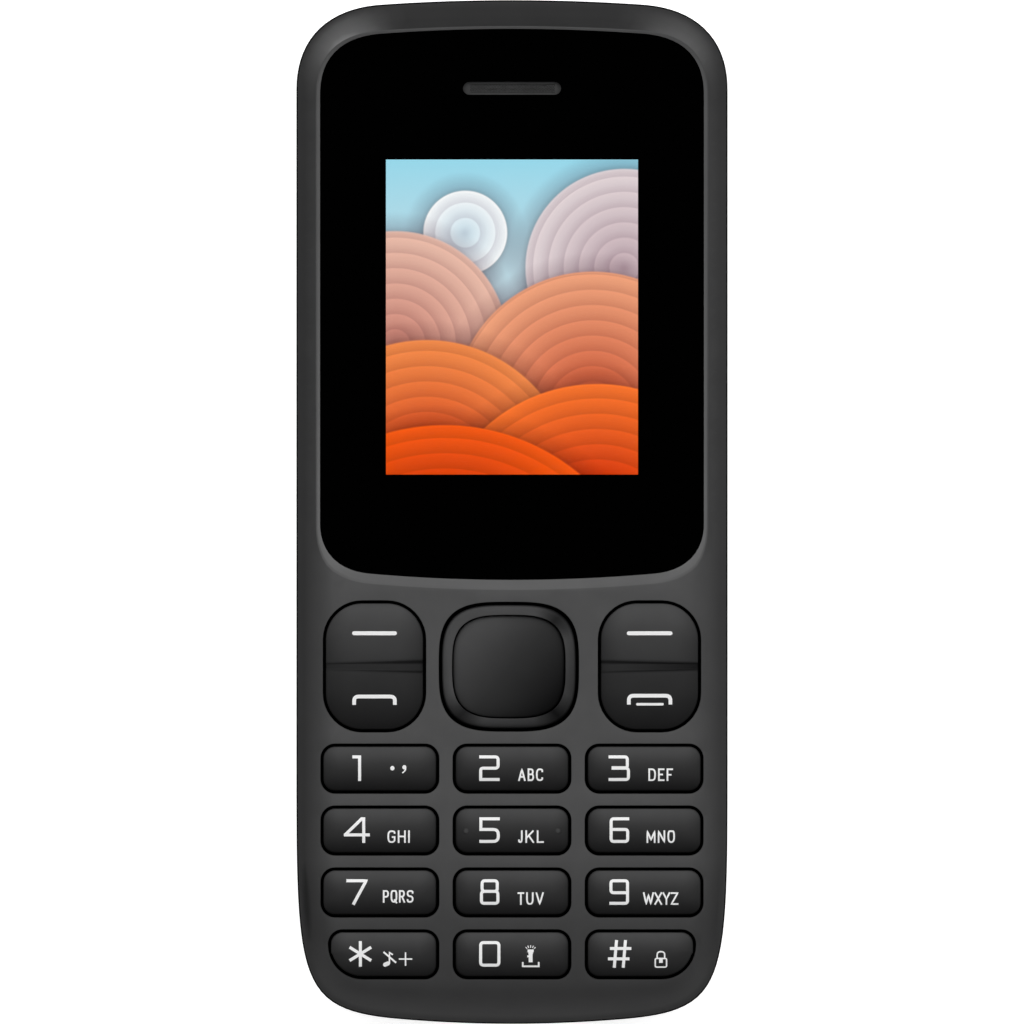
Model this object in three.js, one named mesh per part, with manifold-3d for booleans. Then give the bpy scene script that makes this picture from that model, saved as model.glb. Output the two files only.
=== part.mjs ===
// A candy-bar mobile phone with a number keypad, lying on its back.
// Millimetres. +X is its right side seen from the front, +Y its earpiece end, +Z out of its screen.
// The origin is on the flat of the back cover, under the middle of the body.
import * as THREE from 'three'
import { mergeVertices } from 'three/addons/utils/BufferGeometryUtils.js'
import Module from 'manifold-3d'

const wasm = await Module()
wasm.setup()

// Outside of the body. Its width and length follow from the screen, the lens and the keys.
const bodyThick = 14
const crownRise = 0.4
const rimHeight = 4.4
const partingHeight = 8.4
const grooveDepth = 0.25
const backRadius = 3.5
const bevelStraight = 1.6
const bevelRun = 3.9
const bevelSlopeShare = 0.7
const chinLength = 18.5
const chinFall = 1.6
const chinMargin = 5.005
const browLength = 13
const browFall = 0.73

// Each end of an outline: a gentle arc out to `crown`, then a corner curve that ends `corner` from the end.
const bodyTopEnd = { crown: 14.62, sag: 0.51, corner: 9.93, acrossShare: 0.62, alongShare: 0.61 }
const bodyLowEnd = { crown: 12.38, sag: 0.52, corner: 28.66, acrossShare: 1, alongShare: 0.86 }
const lensTopEnd = { crown: 14.53, sag: 0.53, corner: 7.17, acrossShare: 0.58, alongShare: 0.68 }
const lensLowEnd = { crown: 15.8, sag: 0.69, corner: 6.09, acrossShare: 0.75, alongShare: 0.46 }

// Walls, fits and cuts.
const wall = 1.3
const ledge = 1.3
const coverWall = 1.2
const coverGap = 0.2
const floorThick = 1
const slack = 0.1
const holeGap = 0.3
const overrun = 1

// Screen, the lens over it, its tape and the shelf that carries them.
const screenWidth = 28.06
const screenLength = 35.07
const screenHead = 14.445
const screenFoot = 11.625
const screenSide = 7.24
const lensHead = 3.32
const lensSide = 2.73
const lensRecess = 0.8
const recessRun = 1.1
const lensThick = 0.8
const lensChamfer = 0.12
const tapeThick = 0.1
const shelfThick = 0.8
const windowMargin = 0.6
const lcdHead = 2.4
const lcdFoot = 9.23
const lcdSide = 3.32
const lcdThick = 2.2
const lcdGlassThick = 1.1
const lcdTail = 3.4
const lcdEdge = 0.5
const fenceThick = 0.9
const fenceDepth = 1.8
const earWidth = 10.94
const earLength = 1.47
const earHead = 6.52

// Keys: openings in the face, and how the caps fill them. Key widths follow from the body's width.
const keyRows = [['1', '2', '3'], ['4', '5', '6'], ['7', '8', '9'], ['star', '0', 'hash']]
const keyLength = 5.53
const keyCorner = 1.6
const keyPitchY = 6.89
const keySide = 2.715
const keyRib = 1.53
const keyHead = 1.29
const endKeyTrim = 0.83
const endKeyCorner = 3.8
const keyGap = 0.3
const keyShoulder = 0.3
const keyCrownRun = 2
const flangeReach = 0.45
const flangeThick = 0.4
const flangeGap = 0.15
const rockerLength = 14.65
const rockerCorner = 4.35
const rockerHead = 2.395
const rockerSide = 2.975
const rockerRib = 1.8
const rockerCrownRun = 3.2
const valleyDepth = 0.42
const valleyNarrow = 0.4
const valleyWide = 0.7
const navWidth = 15.55
const navLength = 14.4
const navX = -0.35
const navDrop = 0.04
const navPower = 3.3
const navShoulder = 0.45
const okWidth = 12.5
const okLength = 11.4
const okPower = 3.2
const okGap = 0.12
const okCrownRun = 3
const okReach = 0.4
const okFlangeThick = 0.25
const tiltGap = 0.55
const collarThick = 0.15
const collarRocker = 1.5

// Board, domes and silicone mat.
const boardThick = 0.8
const filmThick = 0.1
const domeRadius = 2.1
const domeTopRadius = 1.2
const domeHeight = 0.3
const plungerRadius = 1.2
const plungerLength = 0.35
const plungerGap = 0.05
const matWeb = 0.4
const matMargin = 0.35
const padGap = 0.05
const padInset = 1.3
const navDomeReachShare = 0.42

// In what follows, `head` and `foot` are distances from the body's ends and `side` one from its side.
// A holder's `drop` is how far its middle is below the battery's top end.
const battery = { width: 34, thick: 4.8, corner: 1.5, head: 41.6, foot: 19 }
const bayGap = 0.3
const bayWall = 1
const bayRoof = 0.6
const contact = {
  width: 9.4, length: 3.1, height: 4.8, tipWidth: 1, tipPitch: 2.6, tipLength: 0.25, tipHeight: 2.4,
}
const sim = { width: 15.5, length: 13, height: 1.15, skin: 0.2, slotWidth: 12.5, drop: 12.4 }
const card = { width: 15, length: 14, height: 1.15, skin: 0.2, slotWidth: 11.4, drop: 31.4 }
const simGap = 1.1

const speaker = {
  radius: 9.3, thick: 3.2, rimThick: 0.9, capRadius: 6.6, seatWall: 0.8, seatHeight: 1.4, head: 24.5,
}
const grille = { count: 5, pitch: 2.3, width: 1.1, length: 11 }
const motor = { radius: 2.2, length: 8.6, shaftRadius: 0.4, shaftLength: 0.6, side: 12.4, above: 11.9 }
const weight = { radius: 2, length: 3, cutShare: 0.35 }
const radioCan = { length: 13, height: 1.5, inner: 1.7, outer: 3.7, head: 28 }
const logicCan = { length: 16, height: 1.5, inner: -0.5, outer: 3.9, head: 29 }
const canChamfer = 0.35
const usb = {
  width: 7.5, length: 5.2, height: 2.5, shell: 0.3, tongueWidth: 4, tongueHeight: 0.6, faceInset: 0.35,
}
const antenna = { side: 9, length: 9, thick: 0.4, slotWidth: 1, slotPitch: 6.4, slots: 4, legWidth: 1.4 }
const receiver = { width: 12, length: 5.6, corner: 1.4 }
const meshPlate = { thick: 0.55, slots: 6, slotPitch: 1.5, slotWidth: 0.7 }
const flex = { width: 11, thick: 0.15, foot: 2.4 }
const notch = { width: 12, depth: 1.4, reach: 1.6 }

// Screws and the posts and bosses that take them. The jack and the torch stand inboard of the top screws.
const screw = { radius: 0.65, headRadius: 1.25, headThick: 1, seat: 5, bite: 2.2 }
const bossWall = 0.6
const postWall = 0.5
const topScrew = { side: 5.7, head: 7.5 }
const lowScrew = { beside: 3.6, foot: 3.5 }
const jack = { width: 6, length: 11, height: 4.6, bore: 1.75, depth: 9, nose: 1.9, inboard: 7.8 }
const torch = {
  radius: 1.1, length: 2.6, flange: 0.3, flangeThick: 0.5, ledWidth: 2.8, ledThick: 1.2, inboard: 10.3,
}
const mic = { width: 3.6, length: 2.6, height: 1.1, hole: 0.5, beside: 6.15 }

// Counts of steps round curves.
const crownSteps = 3
const cornerSteps = 6
const chinSteps = 8
const roundSteps = 3
const padSteps = 1
const domeSides = 8
const roundSides = 12
const wideSides = 24
const backSteps = 3
const navSteps = 24

// Sizes and places across the phone, worked out from the sizes above.
const lensWidth = screenWidth + 2 * screenSide
const bodyWidth = lensWidth + 2 * lensSide
const bodyHalf = bodyWidth / 2
const keyWidth = (bodyWidth - 2 * keySide - 2 * keyRib) / keyRows[0].length
const keyPitchX = keyWidth + keyRib
const rockerWidth = bodyHalf - rockerSide - rockerRib - navWidth / 2
const rockerX = bodyHalf - rockerSide - rockerWidth / 2
const lcdWidth = screenWidth + 2 * lcdSide
const boardInset = wall + holeGap
const simX = (sim.width + simGap) / 2
const topScrewX = bodyHalf - topScrew.side
const lowScrewX = usb.width / 2 + lowScrew.beside
const jackX = topScrewX - jack.inboard
const torchX = torch.inboard - topScrewX
const micX = lowScrewX + mic.beside
const motorX = motor.side - bodyHalf
const antennaWidth = bodyWidth - 2 * antenna.side

// Places along it.
const lensLength = screenHead + screenLength + screenFoot
const keypadLength = keyHead + (keyRows.length - 1) * keyPitchY + keyLength
const bodyLength = lensHead + lensLength + rockerHead + rockerLength + keypadLength + chinMargin
const bodyEnd = bodyLength / 2
const lensTopY = bodyEnd - lensHead
const lensLowY = lensTopY - lensLength
const screenY = lensTopY - screenHead - screenLength / 2
const earY = lensTopY - earHead
const lcdLength = lcdHead + screenLength + lcdFoot
const lcdTopY = screenY + screenLength / 2 + lcdHead
const lcdLowY = lcdTopY - lcdLength
const lcdY = (lcdTopY + lcdLowY) / 2
const rockerY = lensLowY - rockerHead - rockerLength / 2
const navY = rockerY - navDrop
const firstRowY = rockerY - rockerLength / 2 - keyHead - keyLength / 2
const batteryTopY = bodyEnd - battery.head
const batteryLowY = battery.foot - bodyEnd
const batteryLength = batteryTopY - batteryLowY
const batteryY = (batteryTopY + batteryLowY) / 2
const speakerY = bodyEnd - speaker.head
const motorY = speakerY + motor.above
const antennaY = batteryLowY - bayGap - bayWall - overrun - antenna.length / 2
const jackHighY = bodyEnd - wall - 2 * holeGap
const jackLowY = jackHighY - jack.length
const micY = wall + ledge + mic.length - bodyEnd

// Levels above the flat of the back.
const faceTop = bodyThick - crownRise
const lensTop = faceTop - lensRecess
const lensBottom = lensTop - lensThick
const shelfTop = lensBottom - tapeThick
const ceiling = shelfTop - shelfThick
const boardTop = partingHeight
const boardBottom = boardTop - boardThick
const domeTop = boardTop + filmThick + domeHeight
const webBottom = domeTop + plungerGap + plungerLength
const webTop = webBottom + matWeb
const keyFlangeTop = ceiling - flangeGap
const tiltFlangeTop = ceiling - tiltGap
const navBottom = tiltFlangeTop - flangeThick
const lcdTop = ceiling - slack
const backPlane = coverWall + coverGap
const floorTop = backPlane + floorThick
const bayTop = backPlane + battery.thick + coverGap
const slotZ = (rimHeight + partingHeight) / 2
const motorZ = floorTop + slack + motor.radius
const torchZ = boardBottom - torch.radius - torch.flange - slack

const looks = {
  shell: { color: 0x4b4b4b, roughness: 0.55, metalness: 0 },
  keys: { color: 0x2b2b2c, roughness: 0.35, metalness: 0 },
  lens: { color: 0x050506, roughness: 0.05, metalness: 0 },
  silicone: { color: 0xc9c9c4, roughness: 0.8, metalness: 0 },
  steel: { color: 0xb9bcc0, roughness: 0.35, metalness: 1 },
  gold: { color: 0xc9a24a, roughness: 0.35, metalness: 1 },
  board: { color: 0x1d5a3a, roughness: 0.5, metalness: 0 },
  black: { color: 0x151515, roughness: 0.6, metalness: 0 },
  white: { color: 0xe9e9e6, roughness: 0.5, metalness: 0 },
  amber: { color: 0xb5752c, roughness: 0.5, metalness: 0 },
  clear: { color: 0xe8edf2, roughness: 0.1, metalness: 0 },
  cell: { color: 0x2d3036, roughness: 0.5, metalness: 0 },
}

// How far the face falls away from its flat at a given distance in from the outline.
function edgeDrop(inset) {
  const ease = bevelRun - bevelStraight
  if (inset >= bevelRun) return 0
  if (inset >= bevelStraight) return bevelSlopeShare * (bevelRun - inset) ** 2 / (2 * ease)
  return bevelSlopeShare * (bevelStraight - inset) + bevelSlopeShare * ease / 2
}

// How far the face falls over its chin and its brow.
function endDrop(y) {
  const chin = Math.max(0, chinLength - bodyEnd - y) / chinLength
  const brow = Math.max(0, y - bodyEnd + browLength) / browLength
  return chinFall * chin ** 2 + browFall * brow ** 2
}

// The fall of a plane that touches the chin at centreY.
function tiltedDrop(centreY) {
  const chin = Math.max(0, chinLength - bodyEnd - centreY) / chinLength
  const slope = 2 * chinFall * chin / chinLength
  return (y) => endDrop(centreY) - slope * (y - centreY)
}

const faceHeight = (inset) => (x, y) => faceTop - edgeDrop(inset) - endDrop(y)

// One end of an outline, from the middle of the end out to the straight side.
function endCurve(spec, half, steps) {
  const radius = (spec.crown ** 2 + spec.sag ** 2) / (2 * spec.sag)
  const angle = Math.asin(spec.crown / radius)
  const arc = new THREE.EllipseCurve(0, -radius, radius, radius, Math.PI / 2, Math.PI / 2 - angle, true)
  const run = half - spec.crown
  const drop = spec.corner - spec.sag
  const reach = spec.acrossShare * run
  const corner = new THREE.CubicBezierCurve(
    new THREE.Vector2(spec.crown, -spec.sag),
    new THREE.Vector2(spec.crown + reach * Math.cos(angle), -spec.sag - reach * Math.sin(angle)),
    new THREE.Vector2(half, spec.alongShare * drop - spec.corner),
    new THREE.Vector2(half, -spec.corner),
  )
  return [...arc.getPoints(crownSteps), ...corner.getPoints(steps).slice(1)]
}

// A closed outline, clockwise from the middle of its top end.
function twoEndOutline(topSpec, topY, topSteps, lowSpec, lowY, lowSteps, half) {
  const top = endCurve(topSpec, half, topSteps).map((p) => new THREE.Vector2(p.x, topY + p.y))
  const low = endCurve(lowSpec, half, lowSteps).map((p) => new THREE.Vector2(p.x, lowY - p.y)).reverse()
  const right = [...top, ...low]
  const left = right.slice(1, -1).reverse().map((p) => new THREE.Vector2(-p.x, p.y))
  return [...right, ...left]
}

// An outline moved inwards by a distance, corner by corner.
function inset(points, distance) {
  const count = points.length
  return points.map((p, i) => {
    const before = p.clone().sub(points[(i + count - 1) % count]).normalize()
    const after = points[(i + 1) % count].clone().sub(p).normalize()
    const along = before.add(after).normalize()
    const spread = Math.abs(along.dot(after))
    return new THREE.Vector2(p.x + along.y * distance / spread, p.y - along.x * distance / spread)
  })
}

// A rounded rectangle, clockwise from the middle of its top side.
// Its corners are in the order top right, low right, low left, top left.
function roundRect(halfX, halfY, corners, x, y, steps = roundSteps) {
  const signs = [[1, 1], [1, -1], [-1, -1], [-1, 1]]
  const points = []
  signs.forEach(([sx, sy], k) => {
    if (k % 2 === 0) points.push(new THREE.Vector2(x, y + sy * halfY))
    const r = Math.max(slack, Math.min(corners[k], halfX - slack, halfY - slack))
    for (let i = 0; i <= steps; i += 1) {
      const angle = Math.PI / 2 * (1 - k - i / steps)
      const cx = x + sx * (halfX - r)
      const cy = y + sy * (halfY - r)
      points.push(new THREE.Vector2(cx + r * Math.cos(angle), cy + r * Math.sin(angle)))
    }
  })
  return points
}

// A superellipse, clockwise from its top.
function superEllipse(halfX, halfY, power, x, y) {
  const bow = (value) => Math.sign(value) * Math.abs(value) ** (2 / power)
  return Array.from({ length: navSteps }, (_, i) => {
    const angle = 2 * Math.PI * i / navSteps
    return new THREE.Vector2(x + halfX * bow(Math.sin(angle)), y + halfY * bow(Math.cos(angle)))
  })
}

function ringAt(points, height) {
  const heightAt = typeof height === 'number' ? () => height : height
  return points.map((p) => new THREE.Vector3(p.x, p.y, heightAt(p.x, p.y)))
}

// A solid through rings of equal count, bottom first, its ends closed by rungs from side to side.
function loft(rings) {
  const count = rings[0].length
  const half = count / 2
  const faces = []
  for (let k = 0; k + 1 < rings.length; k += 1) {
    for (let i = 0; i < count; i += 1) {
      const low = k * count + i
      const next = k * count + (i + 1) % count
      faces.push(low, low + count, next, next, low + count, next + count)
    }
  }
  const top = (rings.length - 1) * count
  for (let i = 0; i < half; i += 1) {
    const right = i
    const rightNext = i + 1
    const left = (count - i) % count
    const leftNext = count - i - 1
    if (i > 0) faces.push(top + right, top + left, top + leftNext, right, leftNext, left)
    if (i + 1 < half) faces.push(top + right, top + leftNext, top + rightNext, right, rightNext, leftNext)
  }
  const corners = rings.flat().flatMap((p) => p.toArray())
  const geometry = new THREE.BufferGeometry()
  geometry.setAttribute('position', new THREE.Float32BufferAttribute(corners, 3))
  geometry.setIndex(faces)
  return solid(geometry)
}

const prism = (points, low, high) => loft([ringAt(points, low), ringAt(points, high)])

function solid(geometry) {
  const bare = geometry.clone()
  bare.deleteAttribute('normal')
  bare.deleteAttribute('uv')
  const merged = mergeVertices(bare)
  return new wasm.Manifold(new wasm.Mesh({
    numProp: 3,
    vertProperties: Float32Array.from(merged.attributes.position.array),
    triVerts: Uint32Array.from(merged.index.array),
  }))
}

// A box between two heights, `x` and `y` its middle.
function slab(width, length, low, high, x, y) {
  const box = new THREE.BoxGeometry(width, length, high - low)
  return solid(box.translate(x, y, (low + high) / 2))
}

function post(radius, low, high, x, y, topRadius = radius, sides = roundSides) {
  const cylinder = new THREE.CylinderGeometry(topRadius, radius, high - low, sides)
  return solid(cylinder.rotateX(Math.PI / 2).translate(x, y, (low + high) / 2))
}

// A cylinder along Y.
function barrelY(radius, lowY, highY, x, z) {
  const cylinder = new THREE.CylinderGeometry(radius, radius, highY - lowY, roundSides)
  return solid(cylinder.translate(x, (lowY + highY) / 2, z))
}

// A cylinder along X.
function barrelX(radius, lowX, highX, y, z) {
  const cylinder = new THREE.CylinderGeometry(radius, radius, highX - lowX, roundSides)
  return solid(cylinder.rotateZ(Math.PI / 2).translate((lowX + highX) / 2, y, z))
}

const joined = (solids) => solids.reduce((sum, next) => sum.add(next))
const cutBy = (whole, cutters) => cutters.reduce((left, cutter) => left.subtract(cutter), whole)

function piece(name, shape, look) {
  const { vertProperties, triVerts } = shape.getMesh()
  const geometry = new THREE.BufferGeometry()
  geometry.setAttribute('position', new THREE.Float32BufferAttribute(vertProperties, 3))
  geometry.setIndex(Array.from(triVerts))
  geometry.computeVertexNormals()
  const mesh = new THREE.Mesh(geometry, new THREE.MeshStandardMaterial(looks[look]))
  mesh.name = name
  return mesh
}

const bodyOutline = twoEndOutline(
  bodyTopEnd, bodyEnd, cornerSteps, bodyLowEnd, -bodyEnd, chinSteps, bodyHalf,
)
const lensOutline = twoEndOutline(
  lensTopEnd, lensTopY, cornerSteps, lensLowEnd, lensLowY, cornerSteps, lensWidth / 2,
)
const screwPlaces = [
  [-topScrewX, bodyEnd - topScrew.head], [topScrewX, bodyEnd - topScrew.head],
  [-lowScrewX, lowScrew.foot - bodyEnd], [lowScrewX, lowScrew.foot - bodyEnd],
]

// The openings of the twelve number keys, row by row.
const numberKeys = keyRows.flatMap((row, rowIndex) => row.map((label, column) => {
  const side = column - 1
  const trimmed = rowIndex === keyRows.length - 1 && side !== 0
  const corners = [keyCorner, keyCorner, keyCorner, keyCorner]
  if (trimmed) corners[side < 0 ? 2 : 1] = endKeyCorner
  const width = trimmed ? keyWidth - endKeyTrim : keyWidth
  const x = side * keyPitchX - (trimmed ? side * endKeyTrim / 2 : 0)
  const y = firstRowY - rowIndex * keyPitchY
  const outline = (grow, steps) => roundRect(
    width / 2 + grow, keyLength / 2 + grow, corners.map((r) => r + grow), x, y, steps,
  )
  return { name: `key_${label}`, x, y, outline }
}))

const rockers = [-1, 1].map((side) => {
  const x = side * rockerX
  const corners = Array(4).fill(rockerCorner)
  const outline = (grow, steps) => roundRect(
    rockerWidth / 2 + grow, rockerLength / 2 + grow, corners.map((r) => r + grow), x, rockerY, steps,
  )
  return { name: side < 0 ? 'rocker_left' : 'rocker_right', side, x, outline }
})

const navOutline = (grow) => superEllipse(navWidth / 2 + grow, navLength / 2 + grow, navPower, navX, navY)
const okOutline = (grow) => superEllipse(okWidth / 2 + grow, okLength / 2 + grow, okPower, navX, navY)

// Where the domes stand: one under each number key, two under each rocker, five under the ring.
const rockerDomeY = rockerLength / 2 - domeRadius - flangeReach
const domePlaces = [
  ...numberKeys.map((key) => [key.x, key.y]),
  ...rockers.flatMap((rocker) => [[rocker.x, rockerY + rockerDomeY], [rocker.x, rockerY - rockerDomeY]]),
  [navX, navY],
  [navX - navWidth * navDomeReachShare, navY],
  [navX + navWidth * navDomeReachShare, navY],
  [navX, navY - navLength * navDomeReachShare],
  [navX, navY + navLength * navDomeReachShare],
]

function frontHousing() {
  const easeShares = [0, 1 / 3, 2 / 3, 1]
  const skin = [0, ...easeShares.map((share) => bevelStraight + share * (bevelRun - bevelStraight))]
  const outer = loft([
    ringAt(inset(bodyOutline, grooveDepth), partingHeight),
    ringAt(bodyOutline, partingHeight + grooveDepth),
    ...skin.map((d) => ringAt(inset(bodyOutline, d), faceHeight(d))),
  ])
  const inner = inset(bodyOutline, wall)
  const cavity = loft([ringAt(inner, partingHeight - overrun), ringAt(inner, (x, y) => ceiling - endDrop(y))])
  const fenceReach = slack + fenceThick
  const fence = slab(
    lcdWidth + 2 * fenceReach, lcdLength + 2 * fenceReach, ceiling - fenceDepth, ceiling, 0, lcdY,
  )
  const bosses = screwPlaces.map(([x, y]) => {
    return post(screw.radius + holeGap + bossWall, boardTop + slack, ceiling, x, y)
  })
  const lip = lensRecess / recessRun
  const flare = recessRun + overrun
  const seat = inset(lensOutline, -slack)
  const recess = loft([
    ringAt(seat, shelfTop),
    ringAt(seat, lensTop),
    ringAt(inset(lensOutline, -flare), lensTop + lip * (flare - slack)),
  ])
  const shell = outer.subtract(cavity.subtract(joined([fence, ...bosses])))
  const topOf = faceTop + overrun
  const lowOf = ceiling - fenceDepth - overrun
  return cutBy(shell, [
    recess,
    slab(lcdWidth + 2 * slack, lcdLength + 2 * slack, lowOf, ceiling, 0, lcdY),
    slab(flex.width + 2 * holeGap, fenceThick * 4, lowOf, ceiling, 0, lcdLowY),
    slab(screenWidth + 2 * windowMargin, screenLength + 2 * windowMargin, lowOf, topOf, 0, screenY),
    slab(earWidth - 2 * windowMargin, earLength / 2, lowOf, topOf, 0, earY),
    ...screwPlaces.map(([x, y]) => {
      return post(screw.radius + holeGap, lowOf, boardTop + screw.bite + slack, x, y)
    }),
    ...numberKeys.map((key) => prism(key.outline(0), lowOf, topOf)),
    ...rockers.map((rocker) => prism(rocker.outline(0), lowOf, topOf)),
    prism(navOutline(0), lowOf, topOf),
  ])
}

function displayLens() {
  const sheet = loft([
    ringAt(lensOutline, lensBottom),
    ringAt(lensOutline, lensTop - lensChamfer),
    ringAt(inset(lensOutline, lensChamfer), lensTop),
  ])
  return sheet.subtract(earSlot(0, lensBottom - overrun, lensTop + overrun))
}

function earSlot(grow, low, high) {
  const halfY = earLength / 2 + grow
  return prism(roundRect(earWidth / 2 + grow, halfY, Array(4).fill(halfY), 0, earY), low, high)
}

// The black adhesive frame behind the lens, open at the screen and the earpiece.
function lensTape() {
  const sheet = prism(inset(lensOutline, slack), shelfTop, lensBottom)
  const low = shelfTop - overrun
  const high = lensBottom + overrun
  return cutBy(sheet, [slab(screenWidth, screenLength, low, high, 0, screenY), earSlot(slack, low, high)])
}

function earpieceMesh() {
  const plate = earSlot(-slack, shelfTop, shelfTop + meshPlate.thick)
  const slots = Array.from({ length: meshPlate.slots }, (_, i) => {
    const x = (i - (meshPlate.slots - 1) / 2) * meshPlate.slotPitch
    return slab(meshPlate.slotWidth, earLength / 2, shelfTop - overrun, lensTop, x, earY)
  })
  return cutBy(plate, slots)
}

function earpieceReceiver() {
  const corners = Array(4).fill(receiver.corner)
  const outline = roundRect(receiver.width / 2, receiver.length / 2, corners, 0, earY)
  const top = ceiling - endDrop(earY + receiver.length / 2) - slack
  return loft([
    ringAt(outline, boardTop + slack), ringAt(outline, top - slack), ringAt(inset(outline, slack), top),
  ])
}

function lcdPanel() {
  const length = lcdLength - lcdTail - lcdEdge
  const y = lcdTopY - lcdEdge - length / 2
  return slab(lcdWidth - 2 * lcdEdge, length, lcdTop - lcdGlassThick, lcdTop, 0, y)
}

function lcdBacklight() {
  const block = slab(lcdWidth, lcdLength, lcdTop - lcdThick, lcdTop - slack, 0, lcdY)
  const seatLength = lcdLength - lcdEdge + slack
  const seatLow = lcdTop - lcdGlassThick - slack / 2
  const pocket = slab(
    lcdWidth - 2 * lcdEdge + 2 * slack, seatLength + overrun, seatLow, lcdTop + overrun,
    0, lcdTopY - lcdEdge + slack - (seatLength + overrun) / 2,
  )
  return block.subtract(pocket)
}

// A ribbon over the end of the backlight and down to the board.
function lcdFlex() {
  const start = lcdLowY + lcdTail - slack
  const turn = lcdLowY - slack
  const outer = turn - flex.thick
  const high = lcdTop - lcdGlassThick + flex.thick
  const low = boardTop + slack
  const corners = [
    [start, high], [outer, high], [outer, low + flex.thick], [outer - flex.foot, low + flex.thick],
    [outer - flex.foot, low], [turn, low], [turn, high - flex.thick], [start, high - flex.thick],
  ]
  const shape = new THREE.Shape(corners.map(([y, z]) => new THREE.Vector2(y, z)))
  const ribbon = new THREE.ExtrudeGeometry(shape, { depth: flex.width, bevelEnabled: false })
  return solid(ribbon.rotateX(Math.PI / 2).rotateZ(Math.PI / 2).translate(-flex.width / 2, 0, 0))
}

// A key cap on its flange, its crown a parabola in from the edge; `drop` tilts it with the face.
function cap(outline, flangeTop, thick, reach, gap, crownRun, rise, drop) {
  const ring = (grow, level) => ringAt(outline(grow), (x, y) => level - drop(y))
  const top = faceTop + rise
  const crownShares = [0, 0.3, 1]
  const crown = crownShares.map((share) => {
    return ring(-gap - share * crownRun, top - (rise + keyShoulder) * (1 - share) ** 2)
  })
  return loft([
    ring(reach, flangeTop - thick), ring(reach, flangeTop), ring(-gap, flangeTop), ...crown,
  ])
}

const level = () => 0

function numberKey(key) {
  return cap(
    key.outline, keyFlangeTop, flangeThick, flangeReach, keyGap, keyCrownRun, crownRise, tiltedDrop(key.y),
  )
}

// A wedge-shaped valley that widens towards the middle of the phone.
function rockerValley(rocker) {
  const outerX = rocker.x + rocker.side * (rockerWidth / 2 + overrun)
  const innerX = rocker.x - rocker.side * (rockerWidth / 2 + overrun)
  const bottom = faceTop + crownRise - valleyDepth
  const top = faceTop + crownRise + overrun
  const section = (x, half) => {
    const spread = half * (top - bottom) / valleyDepth
    return [[x, rockerY, bottom], [x, rockerY - spread, top], [x, rockerY + spread, top]]
  }
  const left = rocker.side < 0 ? section(outerX, valleyNarrow) : section(innerX, valleyWide)
  const right = rocker.side < 0 ? section(innerX, valleyWide) : section(outerX, valleyNarrow)
  const geometry = new THREE.BufferGeometry()
  geometry.setAttribute('position', new THREE.Float32BufferAttribute([...left, ...right].flat(), 3))
  geometry.setIndex([0, 1, 2, 3, 5, 4, 0, 4, 1, 0, 3, 4, 1, 5, 2, 1, 4, 5, 2, 3, 0, 2, 5, 3])
  return solid(geometry)
}

function rockerKey(rocker) {
  const whole = cap(
    rocker.outline, tiltFlangeTop, flangeThick, flangeReach, keyGap, rockerCrownRun, crownRise, level,
  )
  return whole.subtract(rockerValley(rocker))
}

function navRing() {
  const width = (navWidth - okWidth) / 2 - keyGap
  const ring = (grow, height) => ringAt(navOutline(grow), height)
  const whole = loft([
    ring(flangeReach, navBottom), ring(flangeReach, tiltFlangeTop), ring(-keyGap, tiltFlangeTop),
    ring(-keyGap, faceTop - navShoulder), ring(-keyGap - width / 4, faceTop - navShoulder / 4),
    ring(-keyGap - width, faceTop + crownRise / 2),
  ])
  return whole.subtract(prism(okOutline(okGap), navBottom - overrun, bodyThick + overrun))
}

// The silicone collar under the ring, with a raised bearer at each end for the ring to rock on.
function navPad() {
  const low = webTop + padGap
  const collar = prism(navOutline(0), low, low + collarThick)
  const bearers = [-1, 1].map((side) => {
    const reach = (navLength - okLength) / 2 - okReach
    return slab(2 * collarRocker, reach, low, navBottom - slack, navX, navY + side * (navLength - reach) / 2)
  })
  const hole = prism(okOutline(okReach + okGap), webBottom, navBottom + overrun)
  return joined([collar, ...bearers]).subtract(hole)
}

function okKey() {
  return cap(
    okOutline, navBottom - slack, okFlangeThick, okReach - okGap, okGap, okCrownRun, crownRise / 2, level,
  )
}

// The area of the board that the keys cover.
function keypadZone(low, high, margin) {
  const topY = rockerY + rockerLength / 2 + flangeReach
  const lowY = firstRowY - (keyRows.length - 1) * keyPitchY - keyLength / 2
  const zone = prism(inset(bodyOutline, boardInset + margin), low, high)
  return zone.intersect(slab(bodyWidth, topY - lowY, low - overrun, high + overrun, 0, (topY + lowY) / 2))
}

function domeSheet() {
  const film = keypadZone(boardTop, boardTop + filmThick, matMargin)
  const domes = domePlaces.map(([x, y]) => {
    return post(domeRadius, boardTop, domeTop, x, y, domeTopRadius, domeSides)
  })
  return joined([film, ...domes])
}

function keypadMat() {
  const web = keypadZone(webBottom, webTop, matMargin)
  const tip = webBottom - plungerLength
  const middle = (webBottom + webTop) / 2
  const plungers = domePlaces.map(([x, y]) => {
    return post(plungerRadius, tip, middle, x, y, plungerRadius, domeSides)
  })
  const keyPads = numberKeys.map((key) => {
    const drop = tiltedDrop(key.y)
    const outline = key.outline(-padInset, padSteps)
    const top = (x, y) => keyFlangeTop - flangeThick - padGap - drop(y)
    return loft([ringAt(outline, middle), ringAt(outline, top)])
  })
  const rockerPads = rockers.map((rocker) => {
    return prism(rocker.outline(-padInset, padSteps), middle, navBottom - padGap)
  })
  return joined([web, ...plungers, ...keyPads, ...rockerPads])
}

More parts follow.
